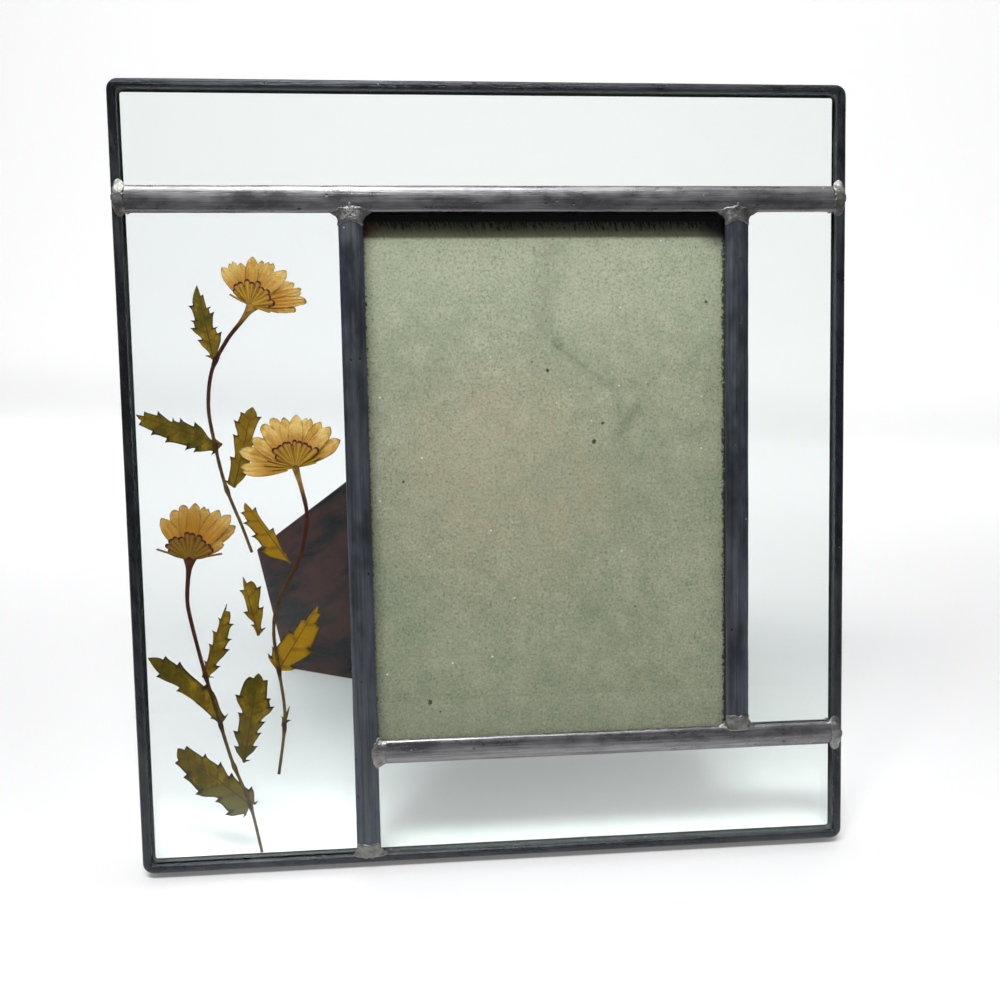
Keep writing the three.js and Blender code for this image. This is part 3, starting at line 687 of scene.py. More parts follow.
def board_top(w, x, z, base, ragged):
    """The strip under the top came: a stain and painted shade of the came's shadow, a rusty corner, a black
    one, hanging hairs and a black line of painted shade where the gap under the came is in shadow.
    """
    # Partly a stain and partly painted shade, deepening the top came's shadow on the board.
    stain_and_painted_shade = w.mapped(w.math("ADD", z, w.math("MULTIPLY", ragged, 0.25)), 148.9, 149.7)
    base = w.blend(w.math("MULTIPLY", stain_and_painted_shade, 0.84), base, colour(70, 66, 42))
    corner = w.math("ADD", distance_from(w, x, z, (56, 154)), ragged)
    base = w.blend(w.mapped(corner, 6.5, 2.0, 0.0, 0.75), base, colour(104, 56, 22))
    corner = w.math("ADD", distance_from(w, x, z, (142, 153)), ragged)
    base = w.blend(w.mapped(corner, 8.0, 2.5, 0.0, 0.85), base, colour(22, 26, 17))
    slanted = w.node("ShaderNodeCombineXYZ")
    w.feed(slanted.inputs[0], w.math("ADD", x, w.math("MULTIPLY", z, 0.35)))
    w.feed(slanted.inputs[2], w.math("MULTIPLY", z, 0.22))
    hairs = w.noise(slanted.outputs[0], 1.9, 5.0, 0.85)
    hung = w.math("ADD", hairs, w.math("MULTIPLY", w.math("SUBTRACT", z, 152.6), 0.045))
    base = w.blend(w.mapped(hung, 0.495, 0.515), base, colour(4, 4, 3))
    # Painted shade: the shadowed gap under the top came, painted black on the board.
    line = w.mapped(w.math("ADD", z, w.math("MULTIPLY", ragged, 0.15)), 152.95, 153.3)
    return w.blend(line, base, colour(3, 3, 3))


def board_finish():
    """Grey-green pressed board: faint clouds with painted light and shade, a close grain, specks, scuffs, a
    rusty side, painted shade along the came edges and a top darkened by a stain and painted shade.
    """
    material, w, shader = finish("chipboard_grey_green", roughness=0.9)
    place = w.panel_place()
    x, _, z = w.split(place)
    pulp = w.noise(place, 1.5, 5.0, 0.75)
    grain = w.noise(place, 4.5, 3.0, 0.8)
    ragged = w.math("MULTIPLY", w.math("SUBTRACT", w.noise(place, 1.1, 5.0, 0.8), 0.5), 2.4)
    base = board_tones(w, place, x, z)
    base = board_grain(w, place, base, pulp, grain)
    base = board_scuffs(w, x, z, base, ragged)
    base = board_sides(w, place, x, z, base, ragged)
    base = board_top(w, x, z, base, ragged)
    w.feed(shader["Base Color"], base)
    w.feed(shader["Normal"], w.bump(w.math("ADD", grain, pulp), 0.5, 0.00015))
    return material


def distance_from(w, x, z, spot):
    """Millimetres from a spot of the panel."""
    across, up = w.math("SUBTRACT", x, spot[0]), w.math("SUBTRACT", z, spot[1])
    square = w.math("ADD", w.math("MULTIPLY", across, across), w.math("MULTIPLY", up, up))
    return w.math("POWER", square, 0.5)


def distance_from_line(w, x, z, start, end):
    """Millimetres from the straight line between two spots of the panel."""
    run, rise = end[0] - start[0], end[1] - start[1]
    across, up = w.math("SUBTRACT", x, start[0]), w.math("SUBTRACT", z, start[1])
    along = w.math("ADD", w.math("MULTIPLY", across, run), w.math("MULTIPLY", up, rise))
    share = w.math("DIVIDE", along, run * run + rise * rise, clamp=True)
    across = w.math("SUBTRACT", across, w.math("MULTIPLY", share, run))
    up = w.math("SUBTRACT", up, w.math("MULTIPLY", share, rise))
    square = w.math("ADD", w.math("MULTIPLY", across, across), w.math("MULTIPLY", up, up))
    return w.math("POWER", square, 0.5)


# ---- Finishes of the pressed plants
def uv_chart(w):
    return w.node("ShaderNodeUVMap", uv_map="UVMap").outputs[0]


def marked(w, name):
    return w.node("ShaderNodeAttribute", attribute_name=name).outputs["Fac"]


def petal_finish():
    """Dried golden petals: darker throats, fine lengthwise veins, brown outlines and greyed pale tips."""
    material, w, shader = finish("petal_gold", roughness=0.8, Specular_IOR_Level=0.1)
    chart = uv_chart(w)
    u, v, _ = w.split(chart)
    place = w.panel_place()
    tone = marked(w, "tone")
    pale = marked(w, "pale")
    cloud = w.group(MOTTLE, place=place, size=2.2, contrast=3.4)["Tone"]
    gold = w.blend(tone, colour(158, 118, 44), colour(180, 142, 70))
    cream = w.blend(tone, colour(214, 172, 84), colour(232, 202, 128))
    base = w.blend(pale, gold, cream)
    tip = w.mapped(v, 0.7, 1.0, 0.0, 0.3)
    base = w.blend(tip, base, colour(222, 200, 140))
    base = w.blend(w.mapped(cloud, 0.35, 0.8, 0.0, 0.65), base, colour(168, 116, 30))
    fine = w.noise(place, 3.2, 5.0, 0.75)
    base = w.blend(w.mapped(fine, 0.5, 0.7, 0.0, 0.4), base, colour(226, 196, 124))
    base = w.blend(w.mapped(fine, 0.46, 0.3, 0.0, 0.5), base, colour(140, 92, 22))
    veins = w.noise(w.stretched(chart, (11, 0.6, 1)), 2.2, 4.0, 0.75)
    base = w.blend(w.mapped(veins, 0.48, 0.62, 0.0, 0.55), base, colour(148, 96, 24))
    throat = w.mapped(v, 0.85, 0.4, 0.0, 0.7)
    base = w.blend(throat, base, colour(158, 102, 20))
    edge = w.group(MARGIN, across=u, width=0.24)["Edge"]
    rim = w.math("MAXIMUM", edge, w.mapped(v, 0.94, 0.99))
    broken = w.mapped(cloud, 0.25, 0.7, 0.35, 1.0)
    base = w.blend(w.math("MULTIPLY", rim, broken), base, colour(112, 88, 38))
    w.feed(shader["Base Color"], base)
    w.feed(shader["Normal"], w.bump(w.math("ADD", veins, cloud), 0.35, 0.00014))
    return material


def bract_finish():
    """Ribbed olive bracts with dark gaps between them, dull pink tips and maroon rims."""
    material, w, shader = finish("bract_olive", roughness=0.8, Specular_IOR_Level=0.1)
    u, v, _ = w.split(uv_chart(w))
    place = w.panel_place()
    tone = marked(w, "tone")
    tipped = marked(w, "tipped")
    cloud = w.group(MOTTLE, place=place, size=1.2, contrast=2.6)["Tone"]
    shade = w.math("MULTIPLY", w.math("ADD", tone, cloud), 0.5)
    base = w.blend(shade, colour(96, 64, 6), colour(164, 124, 34))
    rib = w.mapped(w.math("ABSOLUTE", w.math("SUBTRACT", u, 0.5)), 0.0, 0.16, 0.6, 0.0)
    base = w.blend(rib, base, colour(188, 154, 64))
    pink = w.math("MULTIPLY", w.mapped(v, 0.72, 0.88, 0.0, 0.6), tipped)
    base = w.blend(pink, base, colour(160, 110, 74))
    aged = w.mapped(marked(w, "pale"), 0.3, 0.0, 0.0, 0.55)
    base = w.blend(aged, base, colour(74, 48, 14))
    edge = w.group(MARGIN, across=u, width=0.36)["Edge"]
    base = w.blend(w.math("MULTIPLY", edge, 0.9), base, colour(56, 34, 8))
    arc = w.math("MULTIPLY", edge, w.mapped(v, 0.66, 0.82))
    arc = w.math("MULTIPLY", w.math("MAXIMUM", arc, w.mapped(v, 0.87, 0.94)), tipped)
    base = w.blend(w.math("MULTIPLY", arc, 0.95), base, colour(60, 14, 10))
    w.feed(shader["Base Color"], base)
    w.feed(shader["Normal"], w.bump(cloud, 0.3, 0.0001))
    return material


def stem_finish():
    """Dry stems: olive brown flare, dark red-brown stalk, olive below, with pale ridges and dark joints."""
    material, w, shader = finish("stem_brown", roughness=0.7, Specular_IOR_Level=0.15)
    chart = uv_chart(w)
    _, v, _ = w.split(chart)
    place = w.panel_place()
    knot = marked(w, "knot")
    ridges = w.noise(w.stretched(chart, (14, 1.5, 1)), 1.0, 3.0)
    cloud = w.group(MOTTLE, place=place, size=2.5, contrast=2.6)["Tone"]
    base = w.blend(w.mapped(v, 0.4, 0.85), colour(60, 20, 6), colour(94, 74, 30))
    top = w.blend(w.mapped(marked(w, "pale"), 0.0, 0.3), colour(64, 28, 10), colour(138, 104, 38))
    base = w.blend(w.mapped(v, 0.28, 0.14), base, top)
    base = w.blend(w.mapped(cloud, 0.3, 0.8, 0.0, 0.65), base, colour(34, 10, 4))
    base = w.blend(w.mapped(ridges, 0.54, 0.7, 0.0, 0.45), base, colour(132, 86, 36))
    base = w.blend(knot, base, colour(38, 12, 8))
    w.feed(shader["Base Color"], base)
    w.feed(shader["Normal"], w.bump(ridges, 0.4, 0.0001))
    return material


def leaf_finish():
    """Olive-brown dried leaves with a dark midrib, veins that run to the teeth and near-black edges."""
    material, w, shader = finish("leaf_olive", roughness=0.7, Specular_IOR_Level=0.12)
    u, v, _ = w.split(uv_chart(w))
    place = w.panel_place()
    tone = marked(w, "tone")
    cloud = w.group(MOTTLE, place=place, size=5.0, contrast=3.2)["Tone"]
    fine = w.noise(place, 3.5, 5.0, 0.7)
    base = w.blend(cloud, colour(62, 60, 0), colour(112, 90, 8))
    base = w.blend(w.mapped(fine, 0.3, 0.7, 0.0, 0.3), base, colour(84, 62, 2))
    patch = w.group(MOTTLE, place=w.stretched(place, (1, 1, 0.6)), size=2.6, contrast=3.4)["Tone"]
    base = w.blend(w.mapped(patch, 0.55, 0.9, 0.0, 0.6), base, colour(150, 122, 26))
    base = w.blend(w.mapped(patch, 0.4, 0.1, 0.0, 0.6), base, colour(50, 54, 4))
    base = w.blend(marked(w, "gold"), base, colour(166, 122, 14))
    base = w.blend(tone, base, colour(96, 92, 32))
    away = w.math("ABSOLUTE", w.math("SUBTRACT", u, 0.5))
    rib = w.mapped(away, 0.0, 0.05, 0.75, 0.0)
    beat = w.math("PINGPONG", v, 0.5)
    vein = w.math("MULTIPLY", w.mapped(beat, 0.0, 0.09, 0.42, 0.0), w.mapped(away, 0.45, 0.2))
    base = w.blend(w.math("MAXIMUM", rib, vein), base, colour(70, 44, 16))
    edge = w.group(MARGIN, across=u, width=0.2)["Edge"]
    tooth = w.math("MULTIPLY", w.mapped(beat, 0.0, 0.2, 1.0, 0.0), w.mapped(away, 0.32, 0.42))
    base = w.blend(w.math("MULTIPLY", w.math("MAXIMUM", edge, tooth), 0.93), base, colour(28, 26, 16))
    w.feed(shader["Base Color"], base)
    w.feed(shader["Normal"], w.bump(w.math("SUBTRACT", fine, vein), 0.3, 0.00015))
    return material


# ---- Border came
def rounded_block(name, inset, front, back, radius):
    """A block with the frame's outline, set in by inset, its four long corners rounded."""
    piece = block(name, (inset, front, inset), (FRAME_WIDTH - inset, back, FRAME_HEIGHT - inset))
    select_in_edit(piece, "EDGE", lambda edge: abs(edge.verts[0].co.y - edge.verts[1].co.y) > 1)
    bpy.ops.mesh.bevel(offset=radius, segments=6)
    close_edit()
    return piece


def on_depth(edge, depth):
    return all(abs(corner.co.y - depth) < 0.01 for corner in edge.verts)


def border_came(material):
    came = rounded_block("border_lead", 0, 0, BORDER_DEPTH, CORNER_RADIUS)
    middle = BORDER_DEPTH / 2
    channel = rounded_block("channel", WALL_THICK, LIP_THICK, BORDER_DEPTH - LIP_THICK,
                            CORNER_RADIUS - WALL_THICK)
    front = rounded_block("front_opening", LIP_WIDTH, -1, middle, CORNER_RADIUS - LIP_WIDTH)
    rear = rounded_block("rear_opening", REAR_LIP_WIDTH, middle, BORDER_DEPTH + 1, 0.35)
    for cutter in (channel, front, rear):
        cut(came, cutter)
    for face_depth in (0, BORDER_DEPTH):
        select_in_edit(came, "EDGE", lambda edge: on_depth(edge, face_depth) and not edge.is_boundary
                       and abs(edge.link_faces[0].normal.y - edge.link_faces[1].normal.y) > 0.5)
        bpy.ops.mesh.bevel(offset=0.68, segments=5)
        close_edit()
    slice_through(came, [4 * i for i in range(1, 43)], (1, 0, 0))
    slice_through(came, [4 * i for i in range(1, 46)], (0, 0, 1))
    wave(came, 9, 0.07)
    smooth(came, 50)
    return settle(came, ["border_came"], material, "border_patina")


# ---- Inner cames
def crown_depth(across, half):
    """Depth of a half-round flange face at this distance from its middle."""
    return LIP_THICK - FLANGE_EDGE - CAME_RISE * math.sqrt(max(0, 1 - (across / half) ** 2))


def came_bar(name, length, width=CAME_WIDTH):
    """An H section of lead with half-round faces and a narrower rear flange, from z = 0 up to its length."""
    half = width / 2
    bar = block(name, (-half, 0, 0), (half, BORDER_DEPTH, length))
    slice_through(bar, [LIP_THICK, BORDER_DEPTH - LIP_THICK], (0, 1, 0))
    middle = BORDER_DEPTH / 2
    select_in_edit(bar, "FACE", lambda face: abs(face.normal.x) > 0.9
                   and abs(face.calc_center_median().y - middle) < 1)
    bpy.ops.mesh.extrude_region_move()
    bpy.ops.transform.resize(value=(HEART / width, 1, 1), center_override=(0, middle, length / 2))
    close_edit()
    select_in_edit(bar, "FACE", lambda face: abs(face.normal.x) > 0.9
                   and face.calc_center_median().y > BORDER_DEPTH - LIP_THICK)
    bpy.ops.transform.resize(value=(REAR_WIDTH / width, 1, 1), center_override=(0, middle, length / 2))
    close_edit()
    steps = 16
    slice_through(bar, [-half * math.cos(math.pi * i / steps) for i in range(1, steps)], (1, 0, 0))
    slice_through(bar, [3 * i for i in range(1, int(length / 3) + 1)], (0, 0, 1))
    for corner in bar.data.vertices:
        spot = corner.co
        if abs(spot.y) < 0.01:
            spot.y = crown_depth(spot.x, half)
        elif abs(spot.y - BORDER_DEPTH) < 0.01:
            spot.y = BORDER_DEPTH - crown_depth(spot.x, REAR_WIDTH / 2)
    modify(bar, "BEVEL", width=0.1, segments=2, limit_method="ANGLE", angle_limit=math.radians(50))
    wave(bar, 7, 0.16)
    smooth(bar, 50)
    return bar


def cross_came(name, node, height, left, right, material, width=CAME_WIDTH):
    came = came_bar(name, right - left, width)
    came.data.transform(Matrix.Translation((left, 0, height)) @ Matrix.Rotation(math.pi / 2, 4, "Y"))
    return settle(came, [node], material, "came_patina")


def upright_came(name, node, across, bottom, top, material):
    came = came_bar(name, top - bottom)
    came.data.transform(Matrix.Translation((across, 0, bottom)))
    return settle(came, [node], material, "came_patina")


def inner_cames(across_lead_painted_light, upright_lead_painted_shade):
    edge = LIP_WIDTH + GAP
    under = CAME_WIDTH / 2 - 0.3
    right = FRAME_WIDTH - edge
    top = TOP_CROSS - TOP_WIDTH / 2 + 0.3
    cross_came("top_cross_lead", "top_cross_came", TOP_CROSS, edge, right, across_lead_painted_light, TOP_WIDTH)
    cross_came("lower_cross_lead", "lower_cross_came", LOWER_CROSS, LEFT_UPRIGHT + under, right, across_lead_painted_light)
    upright_came("left_upright_lead", "left_upright_came", LEFT_UPRIGHT, edge, top, upright_lead_painted_shade)
    upright_came("right_upright_lead", "right_upright_came", RIGHT_UPRIGHT, LOWER_CROSS + under, top,
                 upright_lead_painted_shade)


# ---- Solder joints
SOLDER_RISE = 0.24
SOLDER_THICK = 0.3


def lead_depth(x, z, rear):
    """Depth of the lead's face at a point of the panel, or of the flanges' edges beside it."""
    half = REAR_WIDTH / 2 if rear else CAME_WIDTH / 2
    depths = [LIP_THICK - FLANGE_EDGE]
    depths.append(crown_depth(z - TOP_CROSS, half * (1 if rear else TOP_WIDTH / CAME_WIDTH)))
    if z < TOP_CROSS:
        depths.append(crown_depth(x - LEFT_UPRIGHT, half))
    if LOWER_CROSS < z < TOP_CROSS:
        depths.append(crown_depth(x - RIGHT_UPRIGHT, half))
    if x > LEFT_UPRIGHT:
        depths.append(crown_depth(z - LOWER_CROSS, half))
    rim = min(x, FRAME_WIDTH - x, z, FRAME_HEIGHT - z)
    if rim < LIP_WIDTH:
        depths.append(0.35 * (2 * rim / LIP_WIDTH - 1) ** 2)
    return min(depths)


def eased_depth(x, z, rear):
    """Molten solder rounds the hollows off: an average over the lead close by."""
    reach = 0.45
    near = [(0, 0), (reach, 0), (-reach, 0), (0, reach), (0, -reach)]
    return sum(lead_depth(x + dx, z + dz, rear) for dx, dz in near) / len(near)


def outline_reach(outline, turn):
    """The distance to a closed outline, eased between its points. outline is (degrees, distance) pairs."""
    turn %= 360
    for i, (angle, distance) in enumerate(outline):
        after_angle, after = outline[(i + 1) % len(outline)]
        if i + 1 == len(outline):
            after_angle += 360
        for shift in (0, 360):
            if angle <= turn + shift < after_angle:
                return distance + (after - distance) * ramp_up(turn + shift, angle, after_angle)
    return outline[0][1]


def solder_skin(name, centre, outline, rear, seed):
    """A thin skin of solder over a joint: proud in the middle, thin at its rounded rim."""
    rng = random.Random(seed)
    phase = rng.uniform(0, 90)

    def place(u, v):
        turn = 360 * u
        across, up = math.cos(math.radians(turn)), math.sin(math.radians(turn))
        uneven = 1 + 0.05 * noise.noise((3 * across, 3 * up, phase))
        out = v * outline_reach(outline, turn) * uneven
        x = min(FRAME_WIDTH - 0.25, max(0.25, centre[0] + out * across))
        z = max(0.3, centre[1] + out * up)
        lift = SOLDER_RISE * math.sqrt(max(0, 1 - v ** 7)) + 0.1 * noise.noise((x * 0.7, z * 0.7, phase))
        foremost = max(-0.7, -0.38 - 0.268 * z)
        depth = max(foremost, eased_depth(x, z, rear) - max(0.04, lift))
        return Vector((x, BORDER_DEPTH - depth if rear else depth, z))

    skin = shaped_grid(name, 72, 16, place)
    select_in_edit(skin, "FACE", lambda face: True)
    bpy.ops.mesh.remove_doubles(threshold=0.002)
    bpy.ops.mesh.normals_make_consistent(inside=False)
    close_edit()
    outward = sum(face.normal.y * face.area for face in skin.data.polygons)
    if (outward > 0) != rear:
        skin.data.flip_normals()
    modify(skin, "SOLIDIFY", thickness=SOLDER_THICK, offset=-1)
    smooth(skin, 60)
    return skin


# The joints' outlines: a direction in degrees, anticlockwise from the right, and how far the solder reaches.
UNDER_TOP = [(0, 5.0), (9, 3.3), (40, 1.7), (74, 1.35), (88, 2.1), (96, 2), (112, 1.3), (140, 1.5),
             (170, 3.1), (180, 5.2), (188, 4.2), (198, 3.5), (213, 3.5), (228, 4.3), (241, 2.7), (270, 2),
             (299, 2.7), (312, 4.3), (327, 3.5), (342, 3.5), (352, 4.1)]
OVER_CROSS = [(0, 4.6), (10, 3.5), (26, 3.3), (44, 3.9), (58, 3.2), (90, 2.5), (122, 3.2), (136, 3.9),
              (154, 3.3), (170, 3.5), (180, 4.7), (200, 2.6), (232, 1.5), (270, 1.2), (308, 1.5), (340, 2.6)]
BESIDE_UPRIGHT = [(0, 1.6), (30, 2), (52, 3.4), (66, 2.9), (85, 3.9), (105, 2.7), (135, 1.9), (180, 1.6),
                  (225, 1.9), (250, 3), (264, 3.9), (285, 3.3), (305, 3.2), (330, 2)]
ON_BORDER = [(0, 0.9), (48, 1.5), (66, 3.2), (78, 3.9), (90, 4.4), (102, 3.9), (118, 2.7), (145, 1.7),
             (215, 1.7), (242, 2.6), (258, 3.8), (270, 4.2), (282, 3.8), (292, 3.2), (312, 1.5)]
FOOT = [(0, 4.6), (14, 3.6), (30, 3.3), (48, 3.8), (60, 3.1), (90, 2.5), (120, 3.1), (132, 3.8), (150, 3.4),
        (168, 3.5), (180, 3.9), (205, 1.4), (270, 0.5), (335, 1.4)]
REAR_SHARE = 0.55  # the back joints' outlines, as a share of the front ones
BORDER_JOINT = 1.9


def mirrored(outline):
    return [((180 - angle) % 360, reach) for angle, reach in reversed(outline)]


def solder_joints(material):
    top_joint = TOP_CROSS - TOP_WIDTH / 2
    joints = {
        "top_left": ((BORDER_JOINT, TOP_CROSS), ON_BORDER),
        "top_right": ((FRAME_WIDTH - BORDER_JOINT, TOP_CROSS), mirrored(ON_BORDER)),
        "upper_left_upright": ((LEFT_UPRIGHT, top_joint), UNDER_TOP),
        "upper_right_upright": ((RIGHT_UPRIGHT, top_joint), mirrored(UNDER_TOP)),
        "lower_left": ((LEFT_UPRIGHT + CAME_WIDTH / 2, LOWER_CROSS), BESIDE_UPRIGHT),
        "lower_right_upright": ((RIGHT_UPRIGHT, LOWER_CROSS + CAME_WIDTH / 2), OVER_CROSS),
        "lower_right": ((FRAME_WIDTH - BORDER_JOINT, LOWER_CROSS), mirrored(ON_BORDER)),
        "bottom_left_upright": ((LEFT_UPRIGHT, LIP_WIDTH), FOOT),
    }
    for index, (place, (centre, outline)) in enumerate(joints.items()):
        for side in ("front", "back"):
            name = f"solder_{side}_{place}"
            ordered = sorted(outline)
            if side == "back":
                ordered = [(angle, reach * REAR_SHARE) for angle, reach in ordered]
            skin = solder_skin(f"{name}_run", centre, ordered, side == "back", 17 * index + (side == "back"))
            settle(skin, [name], material, "solder")


def puddle(name, lumps, fineness):
    """Lumps of solder run together. Each lump is its middle and its half sizes."""
    balls = []
    for middle, half_sizes in lumps:
        balls.append(primitive("uv_sphere", "lump", segments=24, ring_count=14, radius=1, location=middle,
                               scale=half_sizes))
    piece = join(name, balls)
    modify(piece, "REMESH", mode="VOXEL", voxel_size=fineness)
    modify(piece, "SMOOTH", factor=0.6, iterations=5)
    wave(piece, 1.1, 0.3)
    modify(piece, "SMOOTH", factor=0.5, iterations=2)
    smooth(piece, 80)
    return piece


def plate_tacks(material):
    for side, x in (("left", 53), ("right", 145.2)):
        for level, z in (("low", 62), ("high", 118)):
            lumps = [((x, 8.75, z), (2.3, 0.75, 2)), ((x, 8.3, z), (2.9, 0.8, 2.5))]
            name = f"plate_tack_{side}_{level}"
            settle(puddle(f"{name}_run", lumps, 0.25), [name], material, "solder")


# ---- Insert board
def insert_board(material):
    """Pressed board, cupped a little and soft at its corners."""
    left, bottom = BOARD["left"], BOARD["bottom"]
    width, height = BOARD["right"] - left, BOARD["top"] - bottom

    def place(u, v):
        dent = 0.05 * noise.noise((4 * u, 5 * v, 1)) + 0.05
        return Vector((left + width * u, BOARD["front"] + dent, bottom + height * v))

    board = shaped_grid("chipboard_insert", 60, 80, place)
    modify(board, "SOLIDIFY", thickness=BOARD["thick"] - 0.1, offset=-1)
    modify(board, "BEVEL", width=0.2, segments=2, limit_method="ANGLE", angle_limit=math.radians(50))
    smooth(board, 40)
    return settle(board, ["insert_board"], material, "chipboard")


# ---- Pressed plants
LONG_PETALS = 3.4  # depths of the layers in the flower pane
SHORT_PETALS = 3.65
OUTER_BRACTS = 3.22
INNER_BRACTS = 3.3
STEMS_DEPTH = 3.27
FILM = 0.05  # thickness of a dry petal or bract
FLARE_REACH = 1.9
FLARES = [(1.15, 2.4), (0.45, 2.6), (1.35, 2.25)]  # each stem's added half width at its top, and its fall


def heading(degrees):
    turn = math.radians(degrees)
    return Vector((math.cos(turn), 0, math.sin(turn)))


def blade(name, base, degrees, start, length, profile, depth, across=8, along=16):
    """A flat petal or bract from its base outwards. profile(t, v) gives its half width and tip setback."""
    out, side = heading(degrees), heading(degrees - 90)
    foot = Vector((base[0], 0, base[1]))

    def place(u, v):
        t = 2 * u - 1
        half, setback = profile(t, v)
        run = start + (length - start) * v - setback
        return foot + out * run + side * (t * half) + Vector((0, depth(t, v), 0))

    return shaped_grid(name, across, along, place)


def tip_setback(tip, t):
    """How far a petal's end lies back at t across it, as a share of its width."""
    if tip == "pointed":
        return 0.42 * abs(t) ** 1.4
    if tip == "notched":
        return 0.5 * abs(abs(t) - 0.4) ** 1.15
    return 0.46 * (1 - math.sqrt(1 - 0.97 * t * t))


def petal(head, angle, length, width, level, rng):
    """A strap-shaped petal whose tip is pointed, notched or blunt."""
    phase = rng.uniform(0, 6)
    turned = rng.uniform(-0.4, 0.4)
    tip = rng.choice(("pointed", "pointed", "notched", "blunt"))

    def profile(t, v):
        half = width / 2 * (0.4 + 0.6 * math.sin(math.pi / 2 * min(1, v / 0.62)))
        half *= 1 - 0.24 * ramp_up(v, 0.7, 1)
        setback = tip_setback(tip, t) * width * v ** 5
        return half, setback + turned * t * v ** 5

    def depth(t, v):
        fold = 0.03 * math.cos(3 * math.pi * t + phase) * ramp_up(v, 0.05, 0.5)
        return level + fold + 0.02 * math.sin(5 * v + phase)

    piece = blade("petal", head["base"], angle, length * 0.15, length, profile, depth, 20, 18)
    mark(piece, "tone", rng.random())
    mark(piece, "pale", min(1, max(0, head["pale"] + rng.uniform(-0.18, 0.18))))
    return piece


def petals(index, head, material):
    """A fan of broad petals, with shorter ones behind them in the gaps."""
    rng = random.Random(40 + index)
    fan = head["petals"]
    pieces = []
    for i, (angle, length) in enumerate(fan):
        before = fan[max(0, i - 1)][0]
        after = fan[min(len(fan) - 1, i + 1)][0]
        gaps = 2 if 0 < i < len(fan) - 1 else 1
        spacing = math.radians(abs(before - after) / gaps) * length
        width = min(3.6, max(2.3, 1.15 * spacing))
        level = LONG_PETALS + 0.08 * (0, 2, 1)[i % 3]
        pieces.append(petal(head, angle, length, width, level, rng))
    for i in range(len(fan) - 1):
        between = (fan[i][0] + fan[i + 1][0]) / 2
        short = min(fan[i][1], fan[i + 1][1]) * rng.uniform(0.7, 0.84)
        pieces.append(petal(head, between, short, 2.7, SHORT_PETALS + 0.02 * (i % 2), rng))
    fan_piece = join(f"petal_fan_{index}", pieces)
    modify(fan_piece, "SOLIDIFY", thickness=FILM, offset=-1)
    smooth(fan_piece, 60)
    return settle(fan_piece, [f"petals_{index}"], material, "petals")


def bract(head, angle, length, width, level, tone, tipped=1.0):
    """A narrow scale with a round tip, ridged along its middle."""
    def profile(t, v):
        half = width / 2 * (0.5 + 0.5 * ramp_up(v, 0, 0.6))
        return half, width / 2 * (1 - math.sqrt(1 - 0.97 * t * t)) * v ** 5

    def depth(t, v):
        return level - 0.09 * (1 - t * t) * ramp_up(v, 0, 0.4)

    piece = blade("bract", head["base"], angle, 0.7, length, profile, depth, 10, 16)
    mark(piece, "tone", tone)
    mark(piece, "tipped", tipped)
    mark(piece, "pale", head["pale"])
    return piece


def bract_cup(index, head, material):
    """Two rows of narrow ribbed bracts, with a few thin ones standing off at the sides."""
    rng = random.Random(60 + index)
    cup = head["cup"]
    first, last, count = cup["from"], cup["to"], cup["bracts"]
    step = (last - first) / (2 * count)
    width = math.radians(abs(step) * 2) * cup["radius"] * 0.94
    pieces = []
    for i in range(2 * count + 1):
        front_row = i % 2
        angle = first + step * i + rng.uniform(-2.6, 2.6)
        length = cup["radius"] * (rng.uniform(0.9, 1.05) if front_row else rng.uniform(0.78, 0.97))
        level = OUTER_BRACTS if front_row else INNER_BRACTS
        pieces.append(bract(head, angle, length, width * rng.uniform(0.8, 1.1), level, rng.random()))
    for angle, length in head["whiskers"]:
        pieces.append(bract(head, angle, length, 0.5, INNER_BRACTS, 0.7, 0.0))
    piece = join(f"bract_cup_{index}_scales", pieces)
    modify(piece, "SOLIDIFY", thickness=FILM, offset=-1)
    smooth(piece, 60)
    return settle(piece, [f"bract_cup_{index}"], material, "bracts")


def spline_point(route, s):
    """A point of a smooth curve through the route, s from 0 to 1, and its heading there."""
    spot = s * (len(route) - 1)
    i = min(int(spot), len(route) - 2)
    t = spot - i
    points = [Vector(route[min(len(route) - 1, max(0, k))]) for k in (i - 1, i, i + 1, i + 2)]
    a, b, c, d = points
    place = 0.5 * (2 * b + (c - a) * t + (2 * a - 5 * b + 4 * c - d) * t * t
                   + (3 * b - 3 * c + d - a) * t ** 3)
    ahead = 0.5 * ((c - a) + 2 * (2 * a - 5 * b + 4 * c - d) * t + 3 * (3 * b - 3 * c + d - a) * t * t)
    return place, ahead.normalized()


def flattened_tube(name, route, half_width, half_depth, middle, steps):
    """A pressed tube along a route. half_width(s) and middle(s), its depth, change along it."""
    def place(u, v):
        spot, ahead = spline_point(route, v)
        turn = 2 * math.pi * u
        side = -half_width(v) * math.cos(turn)
        swell = math.sin(turn)
        deep = half_depth * math.copysign(abs(swell) ** 0.6, swell)
        return Vector((spot.x - ahead.y * side, middle(v) - deep, spot.y + ahead.x * side))

    tube = shaped_grid(name, 12, steps, place)
    select_in_edit(tube, "FACE", lambda face: True)
    bpy.ops.mesh.remove_doubles(threshold=0.002)
    bpy.ops.mesh.select_all(action="DESELECT")
    bpy.ops.mesh.select_mode(type="EDGE")
    bpy.ops.mesh.select_non_manifold()
    bpy.ops.mesh.edge_face_add()
    bpy.ops.mesh.select_all(action="SELECT")
    bpy.ops.mesh.normals_make_consistent(inside=False)
    close_edit()
    return tube


def sampled(route, samples):
    """Points of the curve through the route, and the way along it to each of them."""
    places = [spline_point(route, i / samples)[0] for i in range(samples + 1)]
    runs = [0]
    for before, after in zip(places, places[1:]):
        runs.append(runs[-1] + (after - before).length)
    return places, runs


